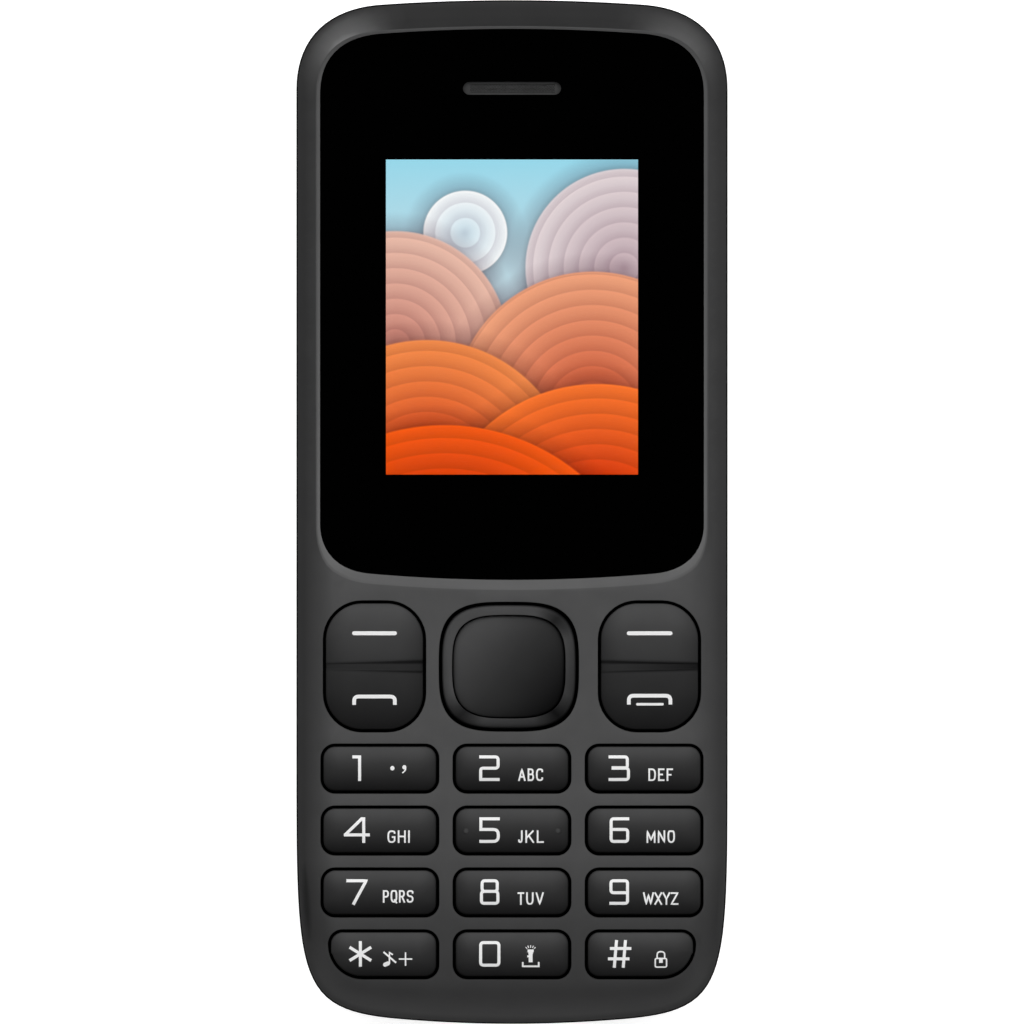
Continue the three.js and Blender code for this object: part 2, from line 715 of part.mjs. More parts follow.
function mainBoard() {
  const sheet = prism(inset(bodyOutline, boardInset), boardBottom, boardTop)
  const low = boardBottom - overrun
  const high = boardTop + overrun
  const jackLength = bodyEnd - jackLowY
  return cutBy(sheet, [
    ...screwPlaces.map(([x, y]) => post(screw.radius + holeGap, low, high, x, y)),
    slab(jack.width + 2 * holeGap, jackLength + 2 * holeGap, low, high, jackX, jackLowY + jackLength / 2),
  ])
}

// A shield can on one side of the board, `inner` from the middle line and `outer` from the board's edge.
function shieldCan(can, side) {
  const width = bodyHalf - boardInset - can.inner - can.outer
  const x = side * (can.inner + width / 2)
  const y = bodyEnd - can.head
  const outline = roundRect(width / 2, can.length / 2, Array(4).fill(canChamfer), x, y)
  const low = boardBottom - can.height
  return loft([
    ringAt(inset(outline, canChamfer), low), ringAt(outline, low + canChamfer), ringAt(outline, boardBottom),
  ])
}

// A metal sleeve open to the low end of the phone, with the tongue inside.
function usbSocket() {
  const faceY = -bodyEnd + usb.faceInset
  const midY = faceY + usb.length / 2
  const low = boardBottom - usb.height
  const block = slab(usb.width, usb.length, low, boardBottom, 0, midY)
  const mouth = slab(
    usb.width - 2 * usb.shell, usb.length, low + usb.shell, boardBottom - usb.shell, 0, midY - usb.shell,
  )
  const middle = (low + boardBottom) / 2
  const tongue = slab(
    usb.tongueWidth, usb.length - 2 * usb.shell, middle - usb.tongueHeight / 2, middle + usb.tongueHeight / 2,
    0, midY + usb.shell,
  )
  return block.subtract(mouth).add(tongue)
}

function headphoneJack() {
  const low = slotZ - jack.height / 2
  const body = slab(
    jack.width, jack.length, low, slotZ + jack.height / 2, jackX, (jackLowY + jackHighY) / 2,
  )
  return body.subtract(barrelY(jack.bore, jackHighY - jack.depth, bodyEnd, jackX, slotZ))
}

// A card holder on the underside of the board, open to the low end.
function cardHolder(holder, x) {
  const low = boardBottom - holder.height
  const y = batteryTopY - holder.drop
  const block = slab(holder.width, holder.length, low, boardBottom, x, y)
  const slot = slab(
    holder.slotWidth, holder.length, low + holder.skin, boardBottom - holder.skin, x, y - holder.skin,
  )
  return block.subtract(slot)
}

function batteryContacts() {
  const y = batteryTopY + bayGap + contact.length / 2
  const block = slab(contact.width, contact.length, boardBottom - contact.height, boardBottom, 0, y)
  const tips = [-1, 0, 1].map((i) => {
    const reach = contact.tipLength + contact.length / 2
    const low = boardBottom - contact.height / 2 - contact.tipHeight / 2
    return slab(
      contact.tipWidth, reach, low, low + contact.tipHeight, i * contact.tipPitch,
      batteryTopY + bayGap - contact.tipLength + reach / 2,
    )
  })
  return joined([block, ...tips])
}

function loudspeaker() {
  const low = floorTop + slack
  const r = speaker.radius
  const cap = speaker.capRadius
  const profile = [
    [0, low + speaker.rimThick / 2], [cap, low + speaker.rimThick / 2], [cap, low], [r, low],
    [r, low + speaker.rimThick], [cap, low + speaker.rimThick], [cap - slack, low + speaker.thick],
    [0, low + speaker.thick],
  ].map(([x, y]) => new THREE.Vector2(x, y))
  const lathe = new THREE.LatheGeometry(profile, wideSides)
  return solid(lathe.rotateX(Math.PI / 2).translate(0, speakerY, 0))
}

function vibrationMotor() {
  const end = motorX + motor.length / 2
  const body = barrelX(motor.radius, motorX - motor.length / 2, end, motorY, motorZ)
  const shaft = barrelX(
    motor.shaftRadius, end - motor.shaftLength, end + motor.shaftLength / 2, motorY, motorZ,
  )
  return body.add(shaft)
}

// The off-centre weight on the motor's shaft.
function motorWeight() {
  const start = motorX + motor.length / 2 + motor.shaftLength
  const disc = barrelX(weight.radius, start, start + weight.length, motorY, motorZ)
  const cut = slab(
    weight.length + 2 * overrun, 2 * weight.radius + overrun, motorZ + weight.radius * weight.cutShare,
    motorZ + weight.radius + overrun, start + weight.length / 2, motorY,
  )
  return disc.subtract(cut)
}

function microphone() {
  return slab(mic.width, mic.length, boardBottom - mic.height, boardBottom, micX, micY)
}

function torchLens() {
  const high = bodyEnd - slack - bodyTopEnd.sag * (torchX / bodyTopEnd.crown) ** 2
  const low = high - torch.length
  const stem = barrelY(torch.radius, low - torch.flangeThick / 2, high, torchX, torchZ)
  return stem.add(barrelY(torch.radius + torch.flange, low - torch.flangeThick, low, torchX, torchZ))
}

function torchLed() {
  const high = bodyEnd - torch.length - torch.flangeThick - torch.flange
  return slab(
    torch.ledWidth, torch.ledThick, 2 * torchZ - boardBottom, boardBottom,
    torchX, high - torch.ledThick / 2,
  )
}

// A slotted plate on the floor of the low end, with two legs up to the board.
function antennaPlate() {
  const low = floorTop
  const plate = slab(antennaWidth, antenna.length, low, low + antenna.thick, 0, antennaY)
  const slots = Array.from({ length: antenna.slots }, (_, i) => {
    const x = (i - (antenna.slots - 1) / 2) * antenna.slotPitch
    const shift = (i % 2 ? 1 : -1) * antenna.slotWidth
    return slab(antenna.slotWidth, antenna.length, low - overrun, low + overrun, x, antennaY + shift)
  })
  const legs = [-1, 1].map((side) => {
    const x = side * (antennaWidth - antenna.legWidth) / 2
    return slab(antenna.legWidth, antenna.thick, low, boardBottom, x, antennaY)
  })
  return joined([cutBy(plate, slots), ...legs])
}

// The rear housing: a band round the sides, a floor under the cover, and the battery's bay let into it.
function rearHousing() {
  const shellInset = coverWall + coverGap
  const outer = loft([
    ...quarterRings(shellInset, backRadius - shellInset, backPlane),
    ringAt(inset(bodyOutline, shellInset), rimHeight),
    ringAt(bodyOutline, rimHeight),
    ringAt(bodyOutline, partingHeight - grooveDepth),
    ringAt(inset(bodyOutline, grooveDepth), partingHeight),
  ])
  const upper = prism(inset(bodyOutline, wall), boardBottom, partingHeight + overrun)
  const roofTop = bayTop + bayRoof
  const bayWidth = battery.width + 2 * bayGap
  const bayLength = batteryLength + 2 * bayGap
  const bayBlock = slab(bayWidth + 2 * bayWall, bayLength + 2 * bayWall, 0, roofTop, 0, batteryY)
  const postRadius = screw.headRadius + holeGap + postWall
  const posts = screwPlaces.map(([x, y]) => post(postRadius, 0, boardBottom, x, y))
  const seatInnerRadius = speaker.radius + slack
  const seatOuterRadius = seatInnerRadius + speaker.seatWall
  const seatTop = floorTop + speaker.seatHeight
  const seatOuter = post(seatOuterRadius, 0, seatTop, 0, speakerY, seatOuterRadius, wideSides)
  const seatInner = post(seatInnerRadius, 0, seatTop + overrun, 0, speakerY, seatInnerRadius, wideSides)
  const cradle = slab(
    motor.length / 2, 2 * motor.radius + speaker.seatWall, 0, motorZ - motor.radius / 2, motorX, motorY,
  ).subtract(barrelX(motor.radius + slack, motorX - motor.length, motorX + motor.length, motorY, motorZ))
  const lowerInset = wall + ledge
  const hollow = cutBy(prism(inset(bodyOutline, lowerInset), floorTop, boardBottom + overrun), [
    bayBlock, ...posts, seatOuter.subtract(seatInner), cradle,
  ])
  const bay = slab(bayWidth, bayLength, -overrun, bayTop, 0, batteryY)
  const contactY = batteryTopY + bayGap + contact.length / 2
  const windows = [[sim, -simX], [sim, simX], [card, 0]].map(([holder, x]) => {
    const y = batteryTopY - holder.drop
    return slab(holder.width + 2 * holeGap, holder.length + 2 * holeGap, backPlane, boardBottom, x, y)
  })
  return cutBy(outer, [
    upper, hollow, bay, ...windows,
    slab(
      contact.width + 2 * holeGap, contact.length + 2 * holeGap, boardBottom - contact.height - holeGap,
      boardBottom, 0, contactY,
    ),
    ...screwPlaces.map(([x, y]) => post(screw.radius + holeGap, 0, boardBottom + overrun, x, y)),
    ...screwPlaces.map(([x, y]) => post(screw.headRadius + holeGap, 0, screw.seat, x, y)),
    post(grille.length / 2, 0, floorTop + overrun, 0, speakerY),
    ...socketCuts(),
  ])
}

// What the sockets, the torch and the microphone need through the walls.
function socketCuts() {
  const usbLow = boardBottom - usb.height - slack
  const jackLow = slotZ - jack.height / 2 - slack
  const jackMid = (jackLowY + jackHighY) / 2
  const ledLow = 2 * torchZ - boardBottom - slack
  return [
    slab(usb.width + 2 * slack, 2 * (usb.length + usb.faceInset + slack), usbLow, boardBottom, 0, -bodyEnd),
    slab(jack.width + 2 * slack, jack.length + 2 * slack, jackLow, partingHeight + overrun, jackX, jackMid),
    barrelY(jack.nose, jackHighY - overrun, bodyEnd + overrun, jackX, slotZ),
    barrelY(torch.radius + slack, bodyEnd - wall - ledge - overrun, bodyEnd + overrun, torchX, torchZ),
    slab(
      2 * (torch.radius + torch.flange + slack), torch.length + 2 * torch.flangeThick, ledLow, boardBottom,
      torchX, bodyEnd - torch.length - torch.length / 2,
    ),
    barrelY(mic.hole, -bodyEnd - overrun, micY, micX, boardBottom - mic.height / 2),
  ]
}

function speakerSlots(low, high) {
  return Array.from({ length: grille.count }, (_, i) => {
    const y = speakerY + (i - (grille.count - 1) / 2) * grille.pitch
    const corners = Array(4).fill(grille.width / 2)
    return prism(roundRect(grille.length / 2, grille.width / 2, corners, 0, y), low, high)
  })
}

function batteryPack() {
  const corners = Array(4).fill(battery.corner)
  const outline = roundRect(battery.width / 2, batteryLength / 2, corners, 0, batteryY)
  return prism(outline, backPlane, backPlane + battery.thick)
}

function quarterRings(edgeInset, radius, flatLevel) {
  return Array.from({ length: backSteps + 1 }, (_, i) => {
    const angle = Math.PI / 2 * i / backSteps
    const d = edgeInset + radius * (1 - Math.sin(angle))
    return ringAt(inset(bodyOutline, d), flatLevel + radius * (1 - Math.cos(angle)))
  })
}

// The snap-off back cover: a thin tray with a rounded edge, speaker slots and a thumb notch in its rim.
function batteryCover() {
  const outer = loft([...quarterRings(0, backRadius, 0), ringAt(bodyOutline, rimHeight)])
  const inner = loft([
    ...quarterRings(coverWall, backRadius - coverWall, coverWall),
    ringAt(inset(bodyOutline, coverWall), rimHeight + overrun),
  ])
  const thumb = barrelY(notch.width / 2, -bodyEnd - overrun, -bodyEnd + notch.reach, 0, 0)
    .translate([0, 0, rimHeight - notch.depth + notch.width / 2])
  return cutBy(outer, [inner, ...speakerSlots(-overrun, backPlane), thumb])
}

function screwShape(x, y) {
  const top = boardTop + screw.bite
  const seatTop = screw.seat
  return post(screw.radius, seatTop - screw.headThick / 2, top, x, y)
    .add(post(screw.headRadius, seatTop - screw.headThick, seatTop, x, y))
}

const phone = new THREE.Group()
phone.add(
  piece('front_housing', frontHousing(), 'shell'),
  piece('display_lens', displayLens(), 'lens'),
  piece('lens_tape', lensTape(), 'black'),
  piece('earpiece_mesh', earpieceMesh(), 'shell'),
  piece('earpiece_receiver', earpieceReceiver(), 'steel'),
  piece('lcd_panel', lcdPanel(), 'clear'),
  piece('lcd_backlight', lcdBacklight(), 'white'),
  piece('lcd_flex', lcdFlex(), 'amber'),
  piece('keypad_mat', keypadMat(), 'silicone'),
  piece('dome_sheet', domeSheet(), 'steel'),
  ...numberKeys.map((key) => piece(key.name, numberKey(key), 'keys')),
  ...rockers.map((rocker) => piece(rocker.name, rockerKey(rocker), 'keys')),
  piece('nav_ring', navRing(), 'keys'),
  piece('nav_pad', navPad(), 'silicone'),
  piece('ok_key', okKey(), 'keys'),
  piece('main_board', mainBoard(), 'board'),
  piece('shield_can_radio', shieldCan(radioCan, -1), 'steel'),
  piece('shield_can_logic', shieldCan(logicCan, 1), 'steel'),
  piece('usb_socket', usbSocket(), 'steel'),
  piece('headphone_jack', headphoneJack(), 'black'),
  piece('sim_holder_left', cardHolder(sim, -simX), 'steel'),
  piece('sim_holder_right', cardHolder(sim, simX), 'steel'),
  piece('memory_card_holder', cardHolder(card, 0), 'steel'),
  piece('battery_contacts', batteryContacts(), 'gold'),
  piece('loudspeaker', loudspeaker(), 'steel'),
  piece('vibration_motor', vibrationMotor(), 'steel'),
  piece('motor_weight', motorWeight(), 'steel'),
  piece('microphone', microphone(), 'steel'),
  piece('torch_led', torchLed(), 'white'),
  piece('torch_lens', torchLens(), 'clear'),
  piece('antenna', antennaPlate(), 'gold'),
  piece('rear_housing', rearHousing(), 'shell'),
  piece('battery', batteryPack(), 'cell'),
  piece('battery_cover', batteryCover(), 'shell'),
  ...screwPlaces.map(([x, y], i) => piece(`housing_screw_${i + 1}`, screwShape(x, y), 'steel')),
)

export default phone
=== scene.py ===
"""The visible surfaces and finishes of a keypad phone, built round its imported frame.

Shapes are worked out in millimetres and go into the meshes in metres.
"""

from collections import namedtuple

import bpy
import numpy as np
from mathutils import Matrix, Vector
from mathutils.geometry import delaunay_2d_cdt


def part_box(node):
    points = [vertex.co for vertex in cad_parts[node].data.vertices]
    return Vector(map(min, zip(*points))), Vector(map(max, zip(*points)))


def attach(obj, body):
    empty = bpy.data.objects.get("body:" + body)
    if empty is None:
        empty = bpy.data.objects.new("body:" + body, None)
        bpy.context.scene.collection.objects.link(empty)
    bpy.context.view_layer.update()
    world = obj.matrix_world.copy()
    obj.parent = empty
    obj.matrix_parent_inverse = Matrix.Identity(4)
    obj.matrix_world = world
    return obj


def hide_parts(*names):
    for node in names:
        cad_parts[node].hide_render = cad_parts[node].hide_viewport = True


bl_info = {
    "name": "Keypad phone surfaces",
    "version": (1, 0, 0),
    "blender": (4, 5, 0),
    "location": "3D View > Sidebar > Phone",
    "description": "Builds the surfaces, print, finishes and stage of a keypad phone round its frame",
    "category": "Object",
}

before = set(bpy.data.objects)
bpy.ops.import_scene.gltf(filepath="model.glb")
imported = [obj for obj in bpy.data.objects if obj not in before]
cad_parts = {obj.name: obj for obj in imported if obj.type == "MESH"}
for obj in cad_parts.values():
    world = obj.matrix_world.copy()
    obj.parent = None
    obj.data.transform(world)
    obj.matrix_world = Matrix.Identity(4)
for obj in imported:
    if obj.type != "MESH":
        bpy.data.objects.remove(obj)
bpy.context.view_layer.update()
MM = 0.001


def box_of(node):
    """A frame node's lowest and highest corners in millimetres."""
    low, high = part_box(node)
    return np.array(low) / MM, np.array(high) / MM


# Outline ends: a gentle arc out to `crown`, sinking `sag`, then a corner curve
# that ends `corner` from the end.
# The curve's two handles are shares of its reach across and along the body.
End = namedtuple("End", "crown sag corner across_share along_share")
BODY_TOP = End(14.62, 0.51, 9.93, 0.62, 0.61)
BODY_LOW = End(12.38, 0.52, 28.66, 1.0, 0.86)
LENS_TOP = End(14.53, 0.53, 7.17, 0.58, 0.68)
LENS_LOW = End(15.8, 0.69, 6.09, 0.75, 0.46)
OUTLINE_POINTS = 360
LENS_POINTS = 260

# Sizes and levels read from the frame.
BODY_HIGH = box_of("front_housing")[1]
GLASS_LOW, GLASS_HIGH = box_of("display_lens")
FACE_TOP = BODY_HIGH[2]
PARTING = box_of("front_housing")[0][2]
SHELF_TOP = box_of("lens_tape")[0][2]
COVER_RIM = box_of("battery_cover")[1][2]
EAR_LOW, EAR_HIGH = box_of("earpiece_mesh")
KEY_NAMES = ["key_1", "key_2", "key_3", "key_4", "key_5", "key_6", "key_7", "key_8", "key_9",
             "key_star", "key_0", "key_hash"]

# Form of the housing.
WALL = 1.3
SHELF = 0.8
GROOVE = 0.25
BEVEL_STRAIGHT = 1.6
BEVEL_RUN = 3.9
BEVEL_SLOPE = 0.7
CHIN_LENGTH = 18.5
CHIN_FALL = 1.6
BROW_LENGTH = 13.0
BROW_FALL = 0.73
RECESS_SLOPE = 0.8 / 1.1
# How far round the edge's rounding the near-black painted outline shade reaches.
OUTLINE_SHADE_TURN = 0.75
FACE_STEP = 1.3
SEAT_GAP = 0.1
WINDOW_MARGIN = 0.6
CORNER_MIDDLE = np.array([11.5, 45.5])
SCREEN_HALF = np.array([14.03, 17.535])
SCREEN_FOOT = 11.625
CEILING = SHELF_TOP - SHELF
LCD_TOP = box_of("lcd_panel")[1][2]

# The camera: the height of the body's widest outline, and half the picture's height there.
SILHOUETTE = 11.5
FRAME_HALF = 57.0

# Form of the keys.
FLANGE_REACH = 0.45
FLANGE_THICK = 0.4
FLANGE_GAP = 0.15
TILT_GAP = 0.55
KEY_GAP = 0.3
KEY_RISE = 0.38
KEY_SHOULDER = 0.3
KEY_RUN = 2.0
ROCKER_RUN = 3.2
KEY_CORNER = 1.6
END_KEY_CORNER = 3.8
ROCKER_CORNER = 4.35
VALLEY_DEPTH = 0.1
VALLEY_OUTER = 0.37
VALLEY_INNER = 0.68
VALLEY_SIDE = 0.4
NAV_POWER = 3.3
NAV_SHOULDER = 0.45
OK_POWER = 3.2
OK_HALF = np.array([6.25, 5.7])
OK_GAP = 0.07
OK_REACH = 0.4
OK_RUN = 3.0


class PhoneSizes(bpy.types.PropertyGroup):
    """Small sizes that the frame leaves to the surfaces."""

    edge_round: bpy.props.FloatProperty(
        name="Edge round", description="How far the rounding of the body's outer edge reaches",
        default=0.35 * MM, unit="LENGTH", precision=5)
    hole_round: bpy.props.FloatProperty(
        name="Opening round", description="Rounding of the rims of the key openings",
        default=0.05 * MM, unit="LENGTH", precision=5)
    key_round: bpy.props.FloatProperty(
        name="Key round", description="Rounding of the rims of the keys",
        default=0.07 * MM, unit="LENGTH", precision=5)
    print_thick: bpy.props.FloatProperty(
        name="Print thickness", description="How far the printed signs stand above the keys",
        default=0.012 * MM, unit="LENGTH", precision=5)
    digit_stroke: bpy.props.FloatProperty(
        name="Digit stroke", description="Stroke width of the digits",
        default=0.335 * MM, unit="LENGTH", precision=5)
    letter_stroke: bpy.props.FloatProperty(
        name="Letter stroke", description="Stroke width of the small letters",
        default=0.19 * MM, unit="LENGTH", precision=5)
    mesh_hole: bpy.props.FloatProperty(
        name="Mesh hole", description="Radius of the holes of the earpiece mesh",
        default=0.055 * MM, unit="LENGTH", precision=5)


class PhoneColours(bpy.types.PropertyGroup):
    """Colours of the phone's finishes."""

    face: bpy.props.FloatVectorProperty(
        name="Face", description="Front housing, on its flat", subtype="COLOR", size=3,
        default=(0.0680, 0.0680, 0.0685))
    # A painted shade: the darker tone that the bevel round the outer edge takes.
    edge: bpy.props.FloatVectorProperty(
        name="Edge", description="Front housing, at its outer edge", subtype="COLOR", size=3,
        default=(0.0190, 0.0190, 0.0193))
    # A painted highlight: the lighter tone of the slope round the lens.
    recess: bpy.props.FloatVectorProperty(
        name="Recess", description="Front housing, on the slope round the lens", subtype="COLOR", size=3,
        default=(0.0960, 0.0960, 0.0966))
    # The keys' painted light at their upper edge and painted shade at their lower edge.
    key_painted_light: bpy.props.FloatVectorProperty(
        name="Key, light end", description="Keys, at their upper edge", subtype="COLOR", size=3,
        default=(0.0660, 0.0660, 0.0666))
    key_painted_shade: bpy.props.FloatVectorProperty(
        name="Key, dark end", description="Keys, at their lower edge", subtype="COLOR", size=3,
        default=(0.0058, 0.0058, 0.0060))
    lens: bpy.props.FloatVectorProperty(
        name="Lens", description="Black border of the display lens", subtype="COLOR", size=3,
        default=(0.0003, 0.0003, 0.0003))
    ink: bpy.props.FloatVectorProperty(
        name="Print", description="Signs printed on the keys", subtype="COLOR", size=3,
        default=(0.86, 0.86, 0.86))
    cover: bpy.props.FloatVectorProperty(
        name="Back cover", description="Snap-off back cover", subtype="COLOR", size=3,
        default=(0.0260, 0.0262, 0.0270))
    band: bpy.props.FloatVectorProperty(
        name="Side band", description="Rear housing", subtype="COLOR", size=3,
        default=(0.0160, 0.0160, 0.0165))


class PhoneStage(bpy.types.PropertyGroup):
    """Lamps, floor and camera."""

    left_lamp: bpy.props.FloatProperty(
        name="Left lamp", description="Light that the left lamp gives a white level surface",
        default=0.21, min=0, subtype="FACTOR")
    right_lamp: bpy.props.FloatProperty(
        name="Right lamp", description="Light that the right lamp gives a white level surface",
        default=0.26, min=0, subtype="FACTOR")
    top_lamp: bpy.props.FloatProperty(
        name="Top lamp", description="Light that the lamp beyond the earpiece gives a white level surface",
        default=0.165, min=0, subtype="FACTOR")
    under_lamp: bpy.props.FloatProperty(
        name="Under lamp", description="Light that the lamp below the floor gives a white surface facing it",
        default=0.5, min=0, subtype="FACTOR")
    sky: bpy.props.FloatProperty(
        name="Sky", description="Brightness of the sky at the horizon, where 1 is white",
        default=0.75, min=0, subtype="FACTOR")
    floor_glow: bpy.props.FloatProperty(
        name="Floor glow", description="What the floor adds to its own light where the camera sees it",
        default=0.72, min=0, subtype="FACTOR")
    lens_length: bpy.props.FloatProperty(
        name="Focal length", description="The camera's focal length", default=1400.0, unit="CAMERA")


def to_mm(length):
    """A length property in millimetres."""
    return length / MM


# Curves in the plane. A loop is a closed curve without its last point repeated, counter-clockwise from above.


def end_curve(end, half, arc_steps=40, corner_steps=120):
    """Half of one end: an arc of radius (crown² + sag²) / 2·sag, then a cubic Bézier round the corner."""
    radius = (end.crown**2 + end.sag**2) / (2 * end.sag)
    tip = np.arcsin(end.crown / radius)
    a = np.linspace(0, tip, arc_steps + 1)
    arc = np.stack([radius * np.sin(a), radius * np.cos(a) - radius], 1)
    drop = end.corner - end.sag
    reach = end.across_share * (half - end.crown)
    p = np.array([
        [end.crown, -end.sag],
        [end.crown + reach * np.cos(tip), -end.sag - reach * np.sin(tip)],
        [half, end.along_share * drop - end.corner],
        [half, -end.corner],
    ])
    t = np.linspace(0, 1, corner_steps + 1)[1:, None]
    corner = (1 - t) ** 3 * p[0] + 3 * (1 - t) ** 2 * t * p[1] + 3 * (1 - t) * t**2 * p[2] + t**3 * p[3]
    return np.concatenate([arc, corner])


def evenly(loop, count):
    """The loop resampled to `count` points, evenly by arc length."""
    closed = np.vstack([loop, loop[:1]])
    run = np.concatenate([[0], np.cumsum(np.hypot(*np.diff(closed, axis=0).T))])
    at = np.linspace(0, run[-1], count, endpoint=False)
    return np.stack([np.interp(at, run, closed[:, k]) for k in range(2)], 1)


def two_end_loop(top, top_y, low, low_y, half, count):
    """A loop between two ends, mirrored about the middle line."""
    rising = end_curve(low, half) * [1, -1] + [0, low_y]
    falling = end_curve(top, half)[::-1] + [0, top_y]
    right = np.vstack([rising, falling])
    left = right[1:-1][::-1] * [-1, 1]
    return evenly(np.vstack([right, left]), count)


def outward(loop):
    """Unit normals of a loop, from the chord between each point's neighbours."""
    chord = np.roll(loop, -1, 0) - np.roll(loop, 1, 0)
    chord /= np.hypot(*chord.T)[:, None]
    return np.stack([chord[:, 1], -chord[:, 0]], 1)


def grown(loop, distance):
    """The loop moved outwards along its normals; a distance may differ from point to point."""
    return loop + outward(loop) * np.broadcast_to(distance, len(loop))[:, None]


def rounded_rect(middle, half, radii, steps=10, side_step=1.0):
    """A rectangle with arcs for corners, in the order top right, top left, low left, low right."""
    signs = np.array([[1, 1], [-1, 1], [-1, -1], [1, -1]])
    parts = []
    for k, (sign, radius) in enumerate(zip(signs, radii)):
        a = np.pi / 2 * (k + np.linspace(0, 1, steps + 1))
        arc = middle + sign * (half - radius) + radius * np.stack([np.cos(a), np.sin(a)], 1)
        following = signs[(k + 1) % 4]
        nxt = middle + following * (half - radii[(k + 1) % 4]) + radii[(k + 1) % 4] * np.stack(
            [np.cos(a[-1:]), np.sin(a[-1:])], 1)
        gap = np.hypot(*(nxt[0] - arc[-1]))
        fill_in = np.linspace(0, 1, max(1, int(gap / side_step)), endpoint=False)[1:, None]
        parts += [arc, arc[-1] + fill_in * (nxt[0] - arc[-1])]
    return np.vstack(parts)


def circle(count):
    """Points evenly round the unit circle."""
    a = np.linspace(0, 2 * np.pi, count, endpoint=False)
    return np.stack([np.cos(a), np.sin(a)], 1)


def superellipse(middle, half, power, count=120):
    """Points where |x/a|^p + |y/b|^p = 1."""
    a = np.linspace(0, 2 * np.pi, count, endpoint=False)
    c, s = np.cos(a), np.sin(a)
    return middle + half * np.stack(
        [np.sign(c) * np.abs(c) ** (2 / power), np.sign(s) * np.abs(s) ** (2 / power)], 1)


def rim_inset(p, middle, half, radii):
    """How far points lie inside the rim of a rounded rectangle: r - |max(q, 0)| - min(max(q), 0)."""
    d = p - middle
    right, up = d[..., 0] > 0, d[..., 1] > 0
    r = np.where(up, np.where(right, radii[0], radii[1]), np.where(right, radii[3], radii[2]))
    q = np.abs(d) - half + r[..., None]
    return r - np.hypot(*np.moveaxis(np.maximum(q, 0), -1, 0)) - np.minimum(q.max(-1), 0)


def inside(p, loop):
    """Which points lie inside a loop, by counting the sides that a ray to the right crosses."""
    a, b = loop, np.roll(loop, -1, 0)
    y = p[:, 1:2]
    crosses = (a[:, 1] > y) != (b[:, 1] > y)
    rise = np.where(b[:, 1] == a[:, 1], 1, b[:, 1] - a[:, 1])
    x = a[:, 0] + (y - a[:, 1]) / rise * (b[:, 0] - a[:, 0])
    return (crosses & (p[:, 0:1] < x)).sum(1) % 2 == 1


def distance_to(p, loop):
    """The distance from each point to the nearest side of a loop."""
    a, ab = loop, np.roll(loop, -1, 0) - loop
    ap = p[:, None] - a
    t = np.clip((ap * ab).sum(-1) / (ab**2).sum(-1), 0, 1)
    return np.hypot(*np.moveaxis(ap - t[..., None] * ab, -1, 0)).min(1)


BODY_LOOP = two_end_loop(BODY_TOP, BODY_HIGH[1], BODY_LOW, -BODY_HIGH[1], BODY_HIGH[0], OUTLINE_POINTS)
LENS_LOOP = two_end_loop(LENS_TOP, GLASS_HIGH[1], LENS_LOW, GLASS_LOW[1], GLASS_HIGH[0], LENS_POINTS)
SCREEN_MIDDLE = np.array([0, GLASS_LOW[1] + SCREEN_FOOT + SCREEN_HALF[1]])
EAR_MIDDLE = (EAR_LOW + EAR_HIGH)[:2] / 2
EAR_HALF = (EAR_HIGH - EAR_LOW)[:2] / 2


# Heights of the face and of the keys.


def chin_share(y):
    """How far along the chin a place lies, from 0 where it starts to 1 at the foot of the body."""
    return np.maximum(0, CHIN_LENGTH - BODY_HIGH[1] - y) / CHIN_LENGTH


def end_drop(y):
    """The fall of the face over its chin and its brow, each a parabola."""
    brow = np.maximum(0, y - BODY_HIGH[1] + BROW_LENGTH) / BROW_LENGTH
    return CHIN_FALL * chin_share(y) ** 2 + BROW_FALL * brow**2


def edge_drop(inset):
    """The fall of the face at its bevel: straight near the edge, then a parabola that eases to the flat."""
    ease = BEVEL_RUN - BEVEL_STRAIGHT
    curved = BEVEL_SLOPE * np.clip(BEVEL_RUN - inset, 0, ease) ** 2 / (2 * ease)
    return curved + BEVEL_SLOPE * np.maximum(0, BEVEL_STRAIGHT - inset)


def face_height(p):
    """The height of the front face at points of the plane."""
    return FACE_TOP - edge_drop(distance_to(p, BODY_LOOP)) - end_drop(p[:, 1])


def plane_drop(middle_y):
    """The fall of the plane that touches the chin at middle_y, a straight line in y."""
    slope = 2 * CHIN_FALL * chin_share(middle_y) / CHIN_LENGTH
    return lambda y: end_drop(middle_y) - slope * (y - middle_y)


